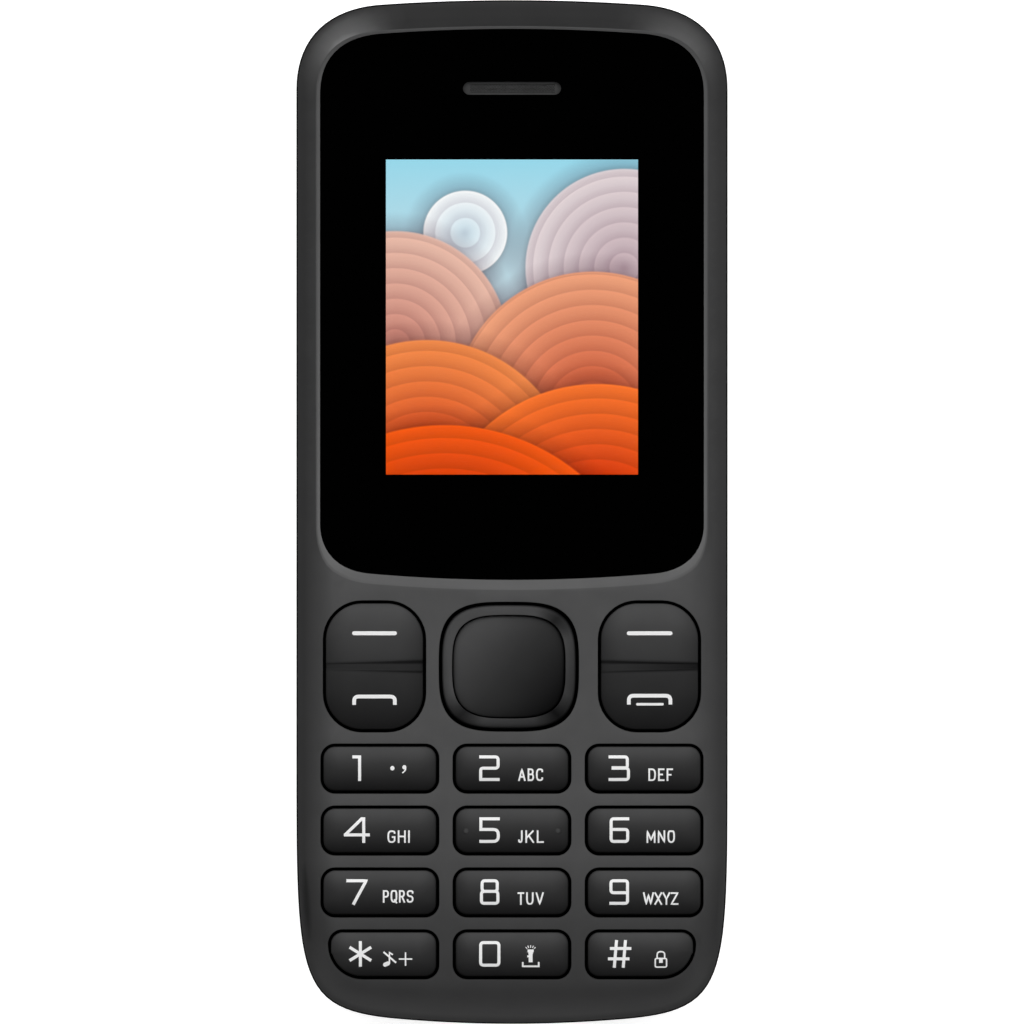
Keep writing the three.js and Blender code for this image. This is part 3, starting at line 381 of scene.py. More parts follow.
def painted_light_tone(p):
    """Painted light and shade on the front housing as a tone: the edge's painted shade plus shares by place.

    The bevel's painted shade lifts in a line from 1 to 4 mm in from the edge, and on the chin the lift fades
    as
    1 - 1.5·chin^1.8. The chin's own share grows along it. The upper corners get a painted highlight by the
    cube of the sine of twice the angle at the corner's middle. The flat inside the bevel is painted lighter
    down to the chin. The brow takes painted shade in two rises, and the chin in a parabola round the keys
    nearest the foot.
    The right bevel has its own painted light.
    """
    x, y = p[:, 0], p[:, 1]
    inset = distance_to(p, BODY_LOOP)
    chin = chin_share(y)
    upper = y > 0
    corner = np.abs(p) - CORNER_MIDDLE
    turn = np.clip(2 * corner[:, 0] * corner[:, 1] / (corner**2).sum(1), 0, 1) ** 3
    # A painted highlight on each upper corner of the bevel, brighter on the left.
    glow = turn * (corner.min(1) > 0) * np.clip(0.2 + inset / 3.6, 0, 1) * np.where(x < 0, 0.75, 0.5) * upper
    bevel = np.clip((inset - 1.0) / 3.0, 0, 1) * np.where(upper, np.clip((54.5 - y) / 3, 0, 1), 1)
    # Painted shade on the brow, and painted light on the flat inside the bevel.
    top = 0.006 * np.clip((y - 52) / 2, 0, 1) + 0.0115 * np.clip((y - 54.9) / 1.7, 0, 1)
    flat = 0.066 * np.clip((inset - 3.8) / 1.2, 0, 1) * np.clip((y + 39) / 7, 0, 1)
    chin_painted_shade = 0.095 * np.clip(1 - ((y + 45) / 6.5) ** 2, 0, 1)
    spread = 0.38 * bevel * np.maximum(0, 1 - 1.5 * chin**1.8)
    return EDGE_SHADE_TONE - top + 0.14 * chin + spread + glow + (flat - chin_painted_shade + right_bevel_painted_light(p))


def right_bevel_painted_light(p):
    """The right bevel's painted light: straight rises over 1.5 mm of X and 10 mm of Y, less on the chin."""
    rise = 0.06 * np.clip((p[:, 0] - 19.5) / 1.5, 0, 1) * np.clip((50 - p[:, 1]) / 10, 0, 1)
    return rise * (1 - chin_share(p[:, 1]))


class Opening:
    """A key opening in the face: its middle, half sizes and corner radii, read from the key's flange."""

    def __init__(self, node, corner):
        low, high = box_of(node)
        self.node = node
        self.middle = (low + high)[:2] / 2
        self.half = (high - low)[:2] / 2 - FLANGE_REACH
        self.radii = np.full(4, corner)
        if node == "key_star":
            self.radii[2] = END_KEY_CORNER
        if node == "key_hash":
            self.radii[3] = END_KEY_CORNER

    def loop(self, grow):
        """The opening's rim, moved outwards by `grow`."""
        return rounded_rect(self.middle, self.half + grow, self.radii + grow)

    def inset(self, p):
        """How far points lie inside the rim of the key, which is KEY_GAP inside the opening's."""
        return rim_inset(p, self.middle, self.half - KEY_GAP, self.radii - KEY_GAP)

    def soft_inset(self, p, run):
        """Like inset, but with corners that stay round all the way in.

        It is R - (qx^n + qy^n)^(1/n), where R is the larger of the corner's radius and `run`, q is how far a
        point lies beyond R inside the sides, and n puts the rim's corner where the key's own arc has it.
        """
        half = self.half - KEY_GAP
        radii = self.radii - KEY_GAP
        d = p - self.middle
        right, up = d[..., 0] > 0, d[..., 1] > 0
        r = np.where(up, np.where(right, radii[0], radii[1]), np.where(right, radii[3], radii[2]))
        wide = np.maximum(r, run)
        power = np.log(2) / -np.log(1 - (1 - np.sqrt(0.5)) * r / wide)
        q = np.maximum(np.abs(d) - half + wide[..., None], 1e-9)
        return wide - (q[..., 0] ** power + q[..., 1] ** power) ** (1 / power)


NUMBER_KEYS = [Opening(name, KEY_CORNER) for name in KEY_NAMES]
ROCKERS = [Opening(name, ROCKER_CORNER) for name in ("rocker_left", "rocker_right")]
NAV_LOW, NAV_HIGH = box_of("nav_ring")
NAV_MIDDLE = (NAV_LOW + NAV_HIGH)[:2] / 2
NAV_HALF = (NAV_HIGH - NAV_LOW)[:2] / 2 - FLANGE_REACH


def crown(soft, inset, run, round_off):
    """A key's rise in from its rim: a parabola over `run`, less a quarter circle at the rim itself."""
    share = np.clip(soft / run, 0, 1)
    r = np.clip(round_off - inset, 0, round_off)
    return KEY_RISE - (KEY_RISE + KEY_SHOULDER) * (1 - share) ** 2 - (
        round_off - np.sqrt(np.maximum(round_off**2 - r**2, 0)))


def key_height(key, round_off):
    """The height of a number key's top, tilted with the chin under it."""
    drop = plane_drop(key.middle[1])
    return lambda p: FACE_TOP + crown(
        key.soft_inset(p, KEY_RUN), key.inset(p), KEY_RUN, round_off) - drop(p[..., 1])


def valley_at(key, p):
    """How far points lie from a rocker's valley line, and how near they are to its inner end.

    The first is the distance along Y over the valley's half width, which runs in a line from its inner to its
    outer end. The second is 1 at the inner end and 0 at the outer end.
    """
    inner_x = key.middle[0] - np.sign(key.middle[0]) * key.half[0]
    share = np.clip(np.abs(p[..., 0] - inner_x) / (2 * key.half[0]), 0, 1)
    width = VALLEY_INNER + (VALLEY_OUTER - VALLEY_INNER) * share
    return (p[..., 1] - key.middle[1]) / width, 1 - share


def rocker_height(key, round_off):
    """The height of a rocker's top: its crown, less a valley that widens towards the middle of the phone.

    The valley's floor is flat, and its sides follow s²·(3 - 2s) over VALLEY_SIDE of its half width.
    """

    def height(p):
        """The height at points of the plane."""
        off, _ = valley_at(key, p)
        slope = np.clip((1 - np.abs(off)) / VALLEY_SIDE, 0, 1)
        return FACE_TOP + crown(key.inset(p), key.inset(p), ROCKER_RUN, round_off) - (
            VALLEY_DEPTH * slope**2 * (3 - 2 * slope))

    return height


# Meshes.

CLEARANCE = 0.25


def loop_sides(starts, loops):
    """The sides of loops, as pairs of indices into their points one loop after another."""
    return [(start + k, start + (k + 1) % len(loop))
            for start, loop in zip(starts, loops) for k in range(len(loop))]


def facing_up(points, triangles):
    """The triangles with those that face down turned over."""
    a, b, c = (points[triangles[:, k]] for k in range(3))
    turned = np.cross(b - a, c - a) < 0
    triangles[turned] = triangles[turned][:, ::-1]
    return triangles


class Shell:
    """Points and faces gathered part by part, with a painted shade at each point for the finish to read.

    `others` names the finish of each group of faces that doesn't take the piece's own.
    """

    def __init__(self):
        self.points = []
        self.shades = []
        self.faces = []
        self.others = {}
        self.count = 0

    def add(self, plane, height, shade=0.5):
        """Adds points at a height, a number or one a point, and gives their indices."""
        count = len(plane)
        self.points.append(np.column_stack([plane, np.broadcast_to(height, count)]))
        self.shades.append(np.broadcast_to(shade, count))
        self.count += count
        return np.arange(self.count - count, self.count)

    def bands(self, *rings, finish=None):
        """Quads between rings of equal count, facing away from the axis where the rings rise.

        They take the piece's own finish unless another is named.
        """
        for a, b in zip(rings, rings[1:]):
            if finish:
                self.others[len(self.faces)] = finish
            self.faces.append(np.stack([a, np.roll(a, -1), np.roll(b, -1), b], 1))

    def lid(self, ring, height, up=True, shade=0.5):
        """A fan from the ring's middle, facing up or down."""
        points = np.concatenate(self.points)[ring]
        tip = self.add(points[:, :2].mean(0, keepdims=True), height, shade)
        a, b = (ring, np.roll(ring, -1)) if up else (np.roll(ring, -1), ring)
        self.faces.append(np.stack([a, b, np.broadcast_to(tip, len(ring))], 1))

    def net(self, index):
        """Quads over a grid of indices whose rows run along +X and rise along +Y."""
        self.faces.append(np.stack(
            [index[:-1, :-1], index[:-1, 1:], index[1:, 1:], index[1:, :-1]], -1).reshape(-1, 4))

    def fill(self, loops, height, extra=np.empty((0, 2)), rings=None, up=True, shade=0.5):
        """Triangles between closed loops, the first outside and the rest holes, through extra points.

        They are a Delaunay mesh that keeps the loops' sides, less the triangles whose middles lie in a hole.
        Extra points nearer a loop than CLEARANCE are left out. rings are the indices of the loops' points
        where they exist already. height and shade may be functions of points. Gives each loop's indices.
        """
        fixed = np.concatenate(loops)
        starts = np.cumsum([0] + [len(loop) for loop in loops])
        edges = loop_sides(starts, loops)
        if len(extra):
            keep = inside(extra, loops[0])
            for loop in loops[1:]:
                keep &= ~inside(extra, loop)
            extra = extra[keep]
            clear = np.min([distance_to(extra, loop) for loop in loops], 0)
            extra = extra[clear > CLEARANCE]
        points = np.concatenate([fixed, extra])
        _, _, faces, origin, _, _ = delaunay_2d_cdt([Vector(p) for p in points], edges, [], 0, 1e-7)
        triangles = np.array([o[0] for o in origin])[np.array(faces)]
        middle = points[triangles].mean(1)
        keep = inside(middle, loops[0])
        for loop in loops[1:]:
            keep &= ~inside(middle, loop)
        triangles = facing_up(points, triangles[keep])
        value = lambda v, p: v(p) if callable(v) else v
        if rings is None:
            index = self.add(points, value(height, points), value(shade, points))
        else:
            more = self.add(extra, value(height, extra), value(shade, extra)) if len(extra) else []
            index = np.concatenate([*rings, more]).astype(int)
        self.faces.append(index[triangles if up else triangles[:, ::-1]])
        return [index[s:s + len(loop)] for s, loop in zip(starts, loops)]


def make_piece(name, shell, finish, body, replaces=(), sharp=35):
    """A piece from a shell: its mesh, its finish, its body, and the nodes it stands for."""
    points = np.concatenate(shell.points) * MM
    mesh = bpy.data.meshes.new(name)
    sizes = np.concatenate([np.full(len(f), f.shape[1]) for f in shell.faces])
    corners = np.concatenate([f.ravel() for f in shell.faces])
    mesh.vertices.add(len(points))
    mesh.vertices.foreach_set("co", points.astype(np.float32).ravel())
    mesh.loops.add(len(corners))
    mesh.loops.foreach_set("vertex_index", corners.astype(np.int32))
    mesh.polygons.add(len(sizes))
    mesh.polygons.foreach_set("loop_start", (np.cumsum(sizes) - sizes).astype(np.int32))
    mesh.update(calc_edges=True)
    shade = mesh.attributes.new("shade", "FLOAT", "POINT")
    shade.data.foreach_set("value", np.concatenate(shell.shades).astype(np.float32))
    mesh.validate()
    mesh.shade_smooth()
    mesh.set_sharp_from_angle(angle=np.radians(sharp))
    mesh.materials.append(FINISHES[finish].material)
    names = sorted(set(shell.others.values()))
    for other in names:
        mesh.materials.append(FINISHES[other].material)
    if names:
        finish_at = [1 + names.index(shell.others[k]) if k in shell.others else 0
                     for k in range(len(shell.faces))]
        index = np.concatenate([np.full(len(f), k) for k, f in zip(finish_at, shell.faces)])
        mesh.polygons.foreach_set("material_index", index.astype(np.int32))
    piece = bpy.data.objects.new(name, mesh)
    bpy.context.scene.collection.objects.link(piece)
    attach(piece, body)
    if replaces:
        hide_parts(*replaces)
    return piece


def plate(shell, outer, holes, low, high):
    """A flat plate with openings: the same fill at two heights, and a wall down each loop."""
    loops = [outer, *holes]
    top = shell.fill(loops, high)
    bottom = shell.fill(loops, low, up=False)
    shell.bands(bottom[0], top[0])
    for upper, lower in zip(top[1:], bottom[1:]):
        shell.bands(upper, lower)


# Finishes.


class Finish:
    """A material built from plain node calls."""

    def __init__(self, name):
        self.material = bpy.data.materials.new(name)
        self.material.use_nodes = True
        self.nodes = self.material.node_tree.nodes
        self.links = self.material.node_tree.links
        self.nodes.clear()
        self.shader = self.add("ShaderNodeBsdfPrincipled")
        self.output = self.add("ShaderNodeOutputMaterial")
        self.link(self.shader, "BSDF", self.output, "Surface")
        self.place = self.add("ShaderNodeTexCoord")

    def add(self, kind, **inputs):
        """A node with values for some of its inputs."""
        node = self.nodes.new(kind)
        for key, value in inputs.items():
            node.inputs[key.replace("_", " ").title() if key.islower() else key].default_value = value
        return node

    def link(self, source, out, target, into):
        """Joins a node's output to another's input."""
        self.links.new(source.outputs[out], target.inputs[into])

    def noise(self, scale, detail=2.0):
        """A noise in space, `scale` cells to the metre."""
        node = self.add("ShaderNodeTexNoise", scale=scale, detail=detail, roughness=0.5)
        self.link(self.place, "Object", node, "Vector")
        return node

    def ramp(self, source, out, stops):
        """A colour that runs in straight lines between stops, each a place and a colour."""
        node = self.add("ShaderNodeValToRGB")
        elements = node.color_ramp.elements
        while len(elements) < len(stops):
            elements.new(0.5)
        for element, (position, colour) in zip(elements, stops):
            element.position = position
            element.color = (*colour, 1)
        self.link(source, out, node, "Fac")
        return node

    def math(self, operation, source, out, second=None):
        """A sum on a node's output, with a number as its second term if one is given."""
        node = self.add("ShaderNodeMath")
        node.operation = operation
        self.link(source, out, node, 0)
        if second is not None:
            node.inputs[1].default_value = second
        return node

    def mix(self, kind, first, second, factor=None):
        """Two colours mixed, each a node and the name of its output; gives the same."""
        node = self.add("ShaderNodeMix")
        node.data_type, node.blend_type = "RGBA", kind
        node.inputs[0].default_value = 1.0
        for k, pair in ((6, first), (7, second), (0, factor)):
            if pair:
                self.links.new(pair[0].outputs[pair[1]], node.inputs[k])
        return node, 2

    def bump(self, source, out, strength, distance):
        """Fine relief in the shader's normal."""
        node = self.add("ShaderNodeBump", strength=strength, distance=distance)
        self.link(source, out, node, "Height")
        self.link(node, "Normal", self.shader, "Normal")

    def set(self, **values):
        """Values on the shader's own sockets."""
        for key, value in values.items():
            self.shader.inputs[key.replace("_", " ")].default_value = value


def tinted(colour, factor):
    """A colour made lighter or darker."""
    return tuple(min(1.0, c * factor) for c in colour)


def moulded(name, colour, roughness, grain=9000, depth=0.000012, spread=0.06, metallic=0.0, specular=0.5):
    """Moulded or stamped stock: a little cloudiness in the colour, and a fine spark-eroded grain."""
    f = Finish(name)
    cloud = f.noise(260, detail=3)
    tint = f.ramp(cloud, "Fac", [(0.3, tinted(colour, 1 - spread)), (0.7, tinted(colour, 1 + spread))])
    f.link(tint, "Color", f.shader, "Base Color")
    grit = f.noise(grain, detail=2)
    gloss = f.ramp(grit, "Fac", [(0.3, (roughness * 0.92,) * 3), (0.7, (min(1, roughness * 1.08),) * 3)])
    f.link(gloss, "Color", f.shader, "Roughness")
    f.bump(grit, "Fac", 0.35, depth)
    f.set(Metallic=metallic, Specular_IOR_Level=specular)
    return f


def shaded(name, stops, roughness, specular, grain=9000, depth=0.00001):
    """Moulded stock whose colour follows the piece's shade attribute, which holds painted light and shade."""
    f = moulded(name, stops[0][1], roughness, grain, depth, specular=specular)
    shade = f.add("ShaderNodeAttribute")
    shade.attribute_name = "shade"
    tone = f.ramp(shade, "Fac", stops)
    cloud = f.noise(300, detail=2)
    tint = f.ramp(cloud, "Fac", [(0.3, (0.96,) * 3), (0.7, (1.04,) * 3)])
    colour, out = f.mix("MULTIPLY", (tone, "Color"), (tint, "Color"))
    f.link(colour, out, f.shader, "Base Color")
    return f


def brushed(name, colour, roughness, along=(900, 9000, 9000)):
    """Rolled or drawn metal: streaks along one direction in the gloss and the surface."""
    f = Finish(name)
    stretch = f.add("ShaderNodeMapping")
    stretch.inputs["Scale"].default_value = along
    f.link(f.place, "Object", stretch, "Vector")
    streak = f.add("ShaderNodeTexNoise", scale=1.0, detail=2.0)
    f.link(stretch, "Vector", streak, "Vector")
    tint = f.ramp(streak, "Fac", [(0.3, tinted(colour, 0.9)), (0.7, tinted(colour, 1.08))])
    f.link(tint, "Color", f.shader, "Base Color")
    gloss = f.ramp(streak, "Fac", [(0.3, (roughness * 0.8,) * 3), (0.7, (roughness * 1.2,) * 3)])
    f.link(gloss, "Color", f.shader, "Roughness")
    f.bump(streak, "Fac", 0.2, 0.000008)
    f.set(Metallic=1.0)
    return f


def clear_stock(name, roughness=0.02):
    """Clear moulded plastic, seen through."""
    f = Finish(name)
    haze = f.noise(700, detail=2)
    gloss = f.ramp(haze, "Fac", [(0.3, (roughness * 0.7,) * 3), (0.7, (roughness * 1.3,) * 3)])
    f.link(gloss, "Color", f.shader, "Roughness")
    f.set(Base_Color=(1, 1, 1, 1), Transmission_Weight=1.0, IOR=1.49)
    return f


# The screen's picture: layers of cut paper. Each is a disc's middle and radius, from the middle of the
# screen, and its colour at the rim and deep inside.
PAPER_SKY = [(0.3, (0.66, 0.72, 0.76)), (0.7, (0.5, 0.72, 0.8)), (1.0, (0.32, 0.7, 0.84))]
PAPER_LAYERS = [
    (-5.2, 9.4, 4.6, (0.88, 0.92, 0.94), (0.62, 0.78, 0.86)),
    (12.5, 5.5, 11.0, (0.74, 0.66, 0.68), (0.55, 0.42, 0.46)),
    (-13.0, -3.0, 12.5, (0.8, 0.5, 0.4), (0.62, 0.26, 0.2)),
    (9.0, -10.5, 15.5, (0.84, 0.36, 0.2), (0.66, 0.14, 0.06)),
    (-9.5, -19.0, 16.5, (0.88, 0.26, 0.07), (0.7, 0.07, 0.01)),
    (9.5, -26.0, 18.5, (0.9, 0.17, 0.025), (0.66, 0.03, 0.0)),
    (-7.5, -35.5, 23.5, (0.88, 0.1, 0.005), (0.5, 0.01, 0.0)),
]
PAPER_REACH = 45.0
PAPER_STEP = 1.7


def screen_picture():
    """A lit screen: hills and a sun of cut paper, each layer shading the one behind it and ribbed inside."""
    f = Finish("screen_picture")
    split = f.add("ShaderNodeSeparateXYZ")
    f.link(f.place, "Object", split, 0)
    rise = f.math("MULTIPLY_ADD", split, "Y", 1 / (2 * SCREEN_HALF[1] * MM))
    rise.inputs[2].default_value = 0.5 - SCREEN_MIDDLE[1] / (2 * SCREEN_HALF[1])
    picture = f.ramp(rise, "Value", PAPER_SKY), "Color"
    for x, y, radius, light, dark in PAPER_LAYERS:
        away = f.add("ShaderNodeVectorMath")
        away.operation = "DISTANCE"
        away.inputs[1].default_value = (
            (SCREEN_MIDDLE[0] + x) * MM, (SCREEN_MIDDLE[1] + y) * MM, LCD_TOP * MM)
        f.link(f.place, "Object", away, 0)
        share = f.math("MULTIPLY", away, "Value", 1 / (PAPER_REACH * MM))
        rim = radius / PAPER_REACH
        shadow = f.ramp(share, "Value", [(rim, (0.55, 0.5, 0.52)), (rim + 0.012, (0.74, 0.7, 0.72)),
                                         (rim + 0.05, (1, 1, 1))])
        picture = f.mix("MULTIPLY", picture, (shadow, "Color"))
        paper = f.ramp(share, "Value", [(max(0, rim - 0.25), dark), (rim - 0.004, light),
                                        (rim, tinted(light, 1.12))])
        ribs = f.math("FRACT", f.math("MULTIPLY", away, "Value", 1 / (PAPER_STEP * MM)), "Value")
        rib = f.ramp(ribs, "Value", [(0.0, (0.84, 0.8, 0.82)), (0.5, (0.98, 0.97, 0.97)),
                                     (0.94, (1.06, 1.04, 1.03)), (1.0, (0.84, 0.8, 0.82))])
        layer = f.mix("MULTIPLY", (paper, "Color"), (rib, "Color"))
        inside_rim = f.ramp(share, "Value", [(rim - 0.0006, (1, 1, 1)), (rim + 0.0006, (0, 0, 0))])
        picture = f.mix("MIX", picture, layer, (inside_rim, "Color"))
    f.link(*picture, f.shader, "Emission Color")
    f.set(Base_Color=(0.01, 0.01, 0.01, 1), Roughness=0.3, Emission_Strength=1.05, Specular_IOR_Level=0.0)
    return f


def board_finish():
    """Solder resist over copper: a grid of tracks and pads shows through."""
    f = moulded("board_green", (0.006, 0.07, 0.03), 0.35, grain=4000)
    bricks = f.add("ShaderNodeTexBrick", scale=1.0)
    bricks.inputs["Scale"].default_value = 420
    bricks.inputs["Color1"].default_value = (0.006, 0.07, 0.03, 1)
    bricks.inputs["Color2"].default_value = (0.005, 0.055, 0.024, 1)
    bricks.inputs["Mortar"].default_value = (0.02, 0.14, 0.06, 1)
    bricks.inputs["Mortar Size"].default_value = 0.03
    f.link(f.place, "Object", bricks, "Vector")
    f.link(bricks, "Color", f.shader, "Base Color")
    return f


# The housing's colour follows a tone from 0 to 1, mostly painted light and shade: a near-black painted shadow
# in the gaps, then the outer edge's painted shade, the flat face at about a half, and a painted highlight on
# the slope round the lens.
EDGE_SHADE_TONE = 0.1
RECESS_HIGHLIGHT_TONE = 0.75

FINISHES = {}


def make_finishes(colours):
    """Every finish of the phone, by name."""
    c = {key: tuple(getattr(colours, key)) for key in
         ("face", "edge", "recess", "key_painted_light", "key_painted_shade", "lens", "ink", "cover", "band")}
    between = tuple((a + b) / 2 for a, b in zip(c["face"], c["edge"]))
    # The keys' colour runs from painted shade at the foot to painted light at the top.
    key_middle = tuple((a + b) / 2.5 for a, b in zip(c["key_painted_light"], c["key_painted_shade"]))
    shadow = tinted(c["band"], 0.3)
    # Stops: painted shadow, the edge's painted shade, the face, and the painted highlight round the lens.
    paint = [(0.0, shadow), (0.06, shadow), (EDGE_SHADE_TONE, c["edge"]), (0.3, between), (0.5, c["face"]),
             (RECESS_HIGHLIGHT_TONE, c["recess"]), (1.0, tinted(c["recess"], 1.9))]
    FINISHES.update({
        "housing": shaded("housing_paint_and_painted_light", paint, 0.55, 0.2),
        "key": shaded("key_plastic", [(0.0, c["key_painted_shade"]), (0.5, key_middle), (1.0, c["key_painted_light"])],
                      0.34, 0.04, grain=12000, depth=0.000004),
        "lens": moulded("lens_black", c["lens"], 0.03, grain=300, depth=0.0000002, specular=0.25),
        "ink": moulded("print_white", c["ink"], 0.55, spread=0.01, specular=0.2),
        "cover": moulded("cover_plastic", c["cover"], 0.6, grain=5000, depth=0.00003),
        "band": moulded("band_plastic", c["band"], 0.45, grain=7000),
        # Near black and matt on the outer rounding: painted shade for the dark outline at the body's edge.
        "trim": moulded("outline_painted_shade", tinted(c["band"], 0.2), 0.8, specular=0.0),
        "mesh": moulded("mesh_grey", (0.052, 0.052, 0.052), 0.5, spread=0.1),
        "pane": clear_stock("window_pane"),
        "clear": clear_stock("torch_clear", 0.08),
        "screen": screen_picture(),
        "film": moulded("black_film", (0.004, 0.004, 0.004), 0.7),
        "white": moulded("white_plastic", (0.75, 0.75, 0.72), 0.5),
        "black": moulded("black_plastic", (0.012, 0.012, 0.012), 0.4),
        "silicone": moulded("silicone_mat", (0.5, 0.5, 0.48), 0.7, grain=3000),
        "flex": moulded("flex_amber", (0.4, 0.16, 0.03), 0.35, grain=2500),
        "board": board_finish(),
        "steel": brushed("nickel_steel", (0.56, 0.55, 0.53), 0.3),
        "heavy": brushed("tungsten", (0.4, 0.4, 0.41), 0.35),
        "screw": brushed("black_screw", (0.14, 0.14, 0.15), 0.35),
        "gold": brushed("gold_contact", (0.8, 0.55, 0.2), 0.25),
        "speaker": brushed("speaker_frame", (0.12, 0.12, 0.125), 0.4),
        "cell": moulded("battery_wrap", (0.035, 0.038, 0.045), 0.4, grain=2500),
    })


# Print.

# Each sign is a list of strokes through points in shares of the sign's box, from its lower left corner. A
# third number is the reach of a rounded corner, in shares of the box's height.
GLYPHS = {
    "1": [[(0, 1), (1, 1), (1, 0)]],
    "2": [[(0, 1), (1, 1, 0.12), (1, 0.5, 0.12), (0, 0.5, 0.1), (0, 0), (1, 0)]],
    "3": [[(0, 1), (0.94, 1, 0.11), (0.94, 0.52, 0.09), (0.08, 0.52)],
          [(0.08, 0.5), (1, 0.5, 0.11), (1, 0, 0.11), (0, 0)]],
    "4": [[(0, 0.29), (1, 0.29)], [(0.02, 0.32), (0.71, 1), (0.8, 1), (0.8, 0)]],
    "5": [[(1, 1), (0, 1), (0, 0.53), (1, 0.53, 0.2), (1, 0, 0.2), (0, 0)]],
    "6": [[(1, 1), (0, 1, 0.11), (0, 0, 0.11), (1, 0, 0.11), (1, 0.53, 0.11), (0, 0.53)]],
    "7": [[(0, 1), (1, 1), (0.33, 0)]],
    "8": [[(0.5, 1), (0.96, 1, 0.12), (0.96, 0.53, 0.12), (0.04, 0.53, 0.12), (0.04, 1, 0.12), (0.5, 1)],
          [(0.5, 0.53), (1, 0.53, 0.12), (1, 0, 0.12), (0, 0, 0.12), (0, 0.53, 0.12), (0.5, 0.53)]],
    "9": [[(0, 0), (1, 0, 0.11), (1, 1, 0.11), (0, 1, 0.11), (0, 0.47, 0.11), (1, 0.47)]],
    "0": [[(0.5, 1), (1, 1, 0.125), (1, 0, 0.125), (0, 0, 0.125), (0, 1, 0.125), (0.5, 1)]],
    "*": [[(0.5, 1), (0.5, 0)], [(0, 0.76), (1, 0.24)], [(0, 0.24), (1, 0.76)]],
    "#": [[(0.34, 1), (0.24, 0)], [(0.78, 1), (0.68, 0)], [(0.02, 0.72), (1, 0.72)], [(0, 0.3), (0.98, 0.3)]],
    "A": [[(0, 0), (0.5, 1), (1, 0)], [(0.2, 0.3), (0.8, 0.3)]],
    "B": [[(0, 0.53), (0, 1), (0.92, 1, 0.22), (0.92, 0.53, 0.2), (0, 0.53), (0, 0), (1, 0, 0.25),
           (1, 0.53, 0.24), (0.5, 0.53)]],
    "C": [[(1, 0.74), (1, 1, 0.35), (0, 1, 0.35), (0, 0, 0.35), (1, 0, 0.35), (1, 0.26)]],
    "D": [[(0, 0.5), (0, 1), (1, 1, 0.38), (1, 0, 0.38), (0, 0), (0, 0.5)]],
    "E": [[(1, 1), (0, 1), (0, 0), (1, 0)], [(0, 0.52), (0.85, 0.52)]],
    "F": [[(1, 1), (0, 1), (0, 0)], [(0, 0.5), (0.85, 0.5)]],
    "G": [[(1, 0.76), (1, 1, 0.35), (0, 1, 0.35), (0, 0, 0.35), (1, 0, 0.3), (1, 0.46), (0.55, 0.46)]],
    "H": [[(0, 0), (0, 1)], [(1, 0), (1, 1)], [(0, 0.52), (1, 0.52)]],
    "I": [[(0.5, 0), (0.5, 1)]],
    "J": [[(1, 1), (1, 0, 0.32), (0, 0, 0.32), (0, 0.24)]],
    "K": [[(0, 0), (0, 1)], [(0.95, 1), (0, 0.36)], [(0.36, 0.6), (1, 0)]],
    "L": [[(0, 1), (0, 0), (1, 0)]],
    "M": [[(0, 0), (0, 1), (0.5, 0.2), (1, 1), (1, 0)]],
    "N": [[(0, 0), (0, 1), (1, 0), (1, 1)]],
    "O": [[(0.5, 1), (1, 1, 0.38), (1, 0, 0.38), (0, 0, 0.38), (0, 1, 0.38), (0.5, 1)]],
    "P": [[(0, 0), (0, 1), (1, 1, 0.26), (1, 0.46, 0.26), (0, 0.46)]],
    "Q": [[(0.5, 1), (1, 1, 0.38), (1, 0, 0.38), (0, 0, 0.38), (0, 1, 0.38), (0.5, 1)],
          [(0.55, 0.22), (1.1, -0.14)]],
    "R": [[(0, 0), (0, 1), (0.95, 1, 0.26), (0.95, 0.48, 0.26), (0, 0.48)], [(0.5, 0.48), (1, 0)]],
    "S": [[(1, 0.76), (1, 1, 0.3), (0, 1, 0.3), (0, 0.53, 0.24), (1, 0.5, 0.24), (1, 0, 0.3), (0, 0, 0.3),
           (0, 0.24)]],
    "T": [[(0, 1), (1, 1)], [(0.5, 1), (0.5, 0)]],
    "U": [[(0, 1), (0, 0, 0.38), (1, 0, 0.38), (1, 1)]],
    "V": [[(0, 1), (0.5, 0), (1, 1)]],
    "W": [[(0, 1), (0.26, 0), (0.5, 0.85), (0.74, 0), (1, 1)]],
    "X": [[(0, 0), (1, 1)], [(0, 1), (1, 0)]],
    "Y": [[(0, 1), (0.5, 0.45), (1, 1)], [(0.5, 0.45), (0.5, 0)]],
    "Z": [[(0, 1), (1, 1), (0, 0), (1, 0)]],
}
LETTER_WIDTHS = {
    "A": 1.05, "B": 0.9, "E": 0.85, "F": 0.85, "I": 0.12, "J": 0.55, "K": 1.05, "L": 0.85, "M": 1.2, "P": 0.9,
    "R": 0.92, "T": 0.88, "V": 1.1, "W": 1.42,
}
SINGLE_STROKE = 0.2

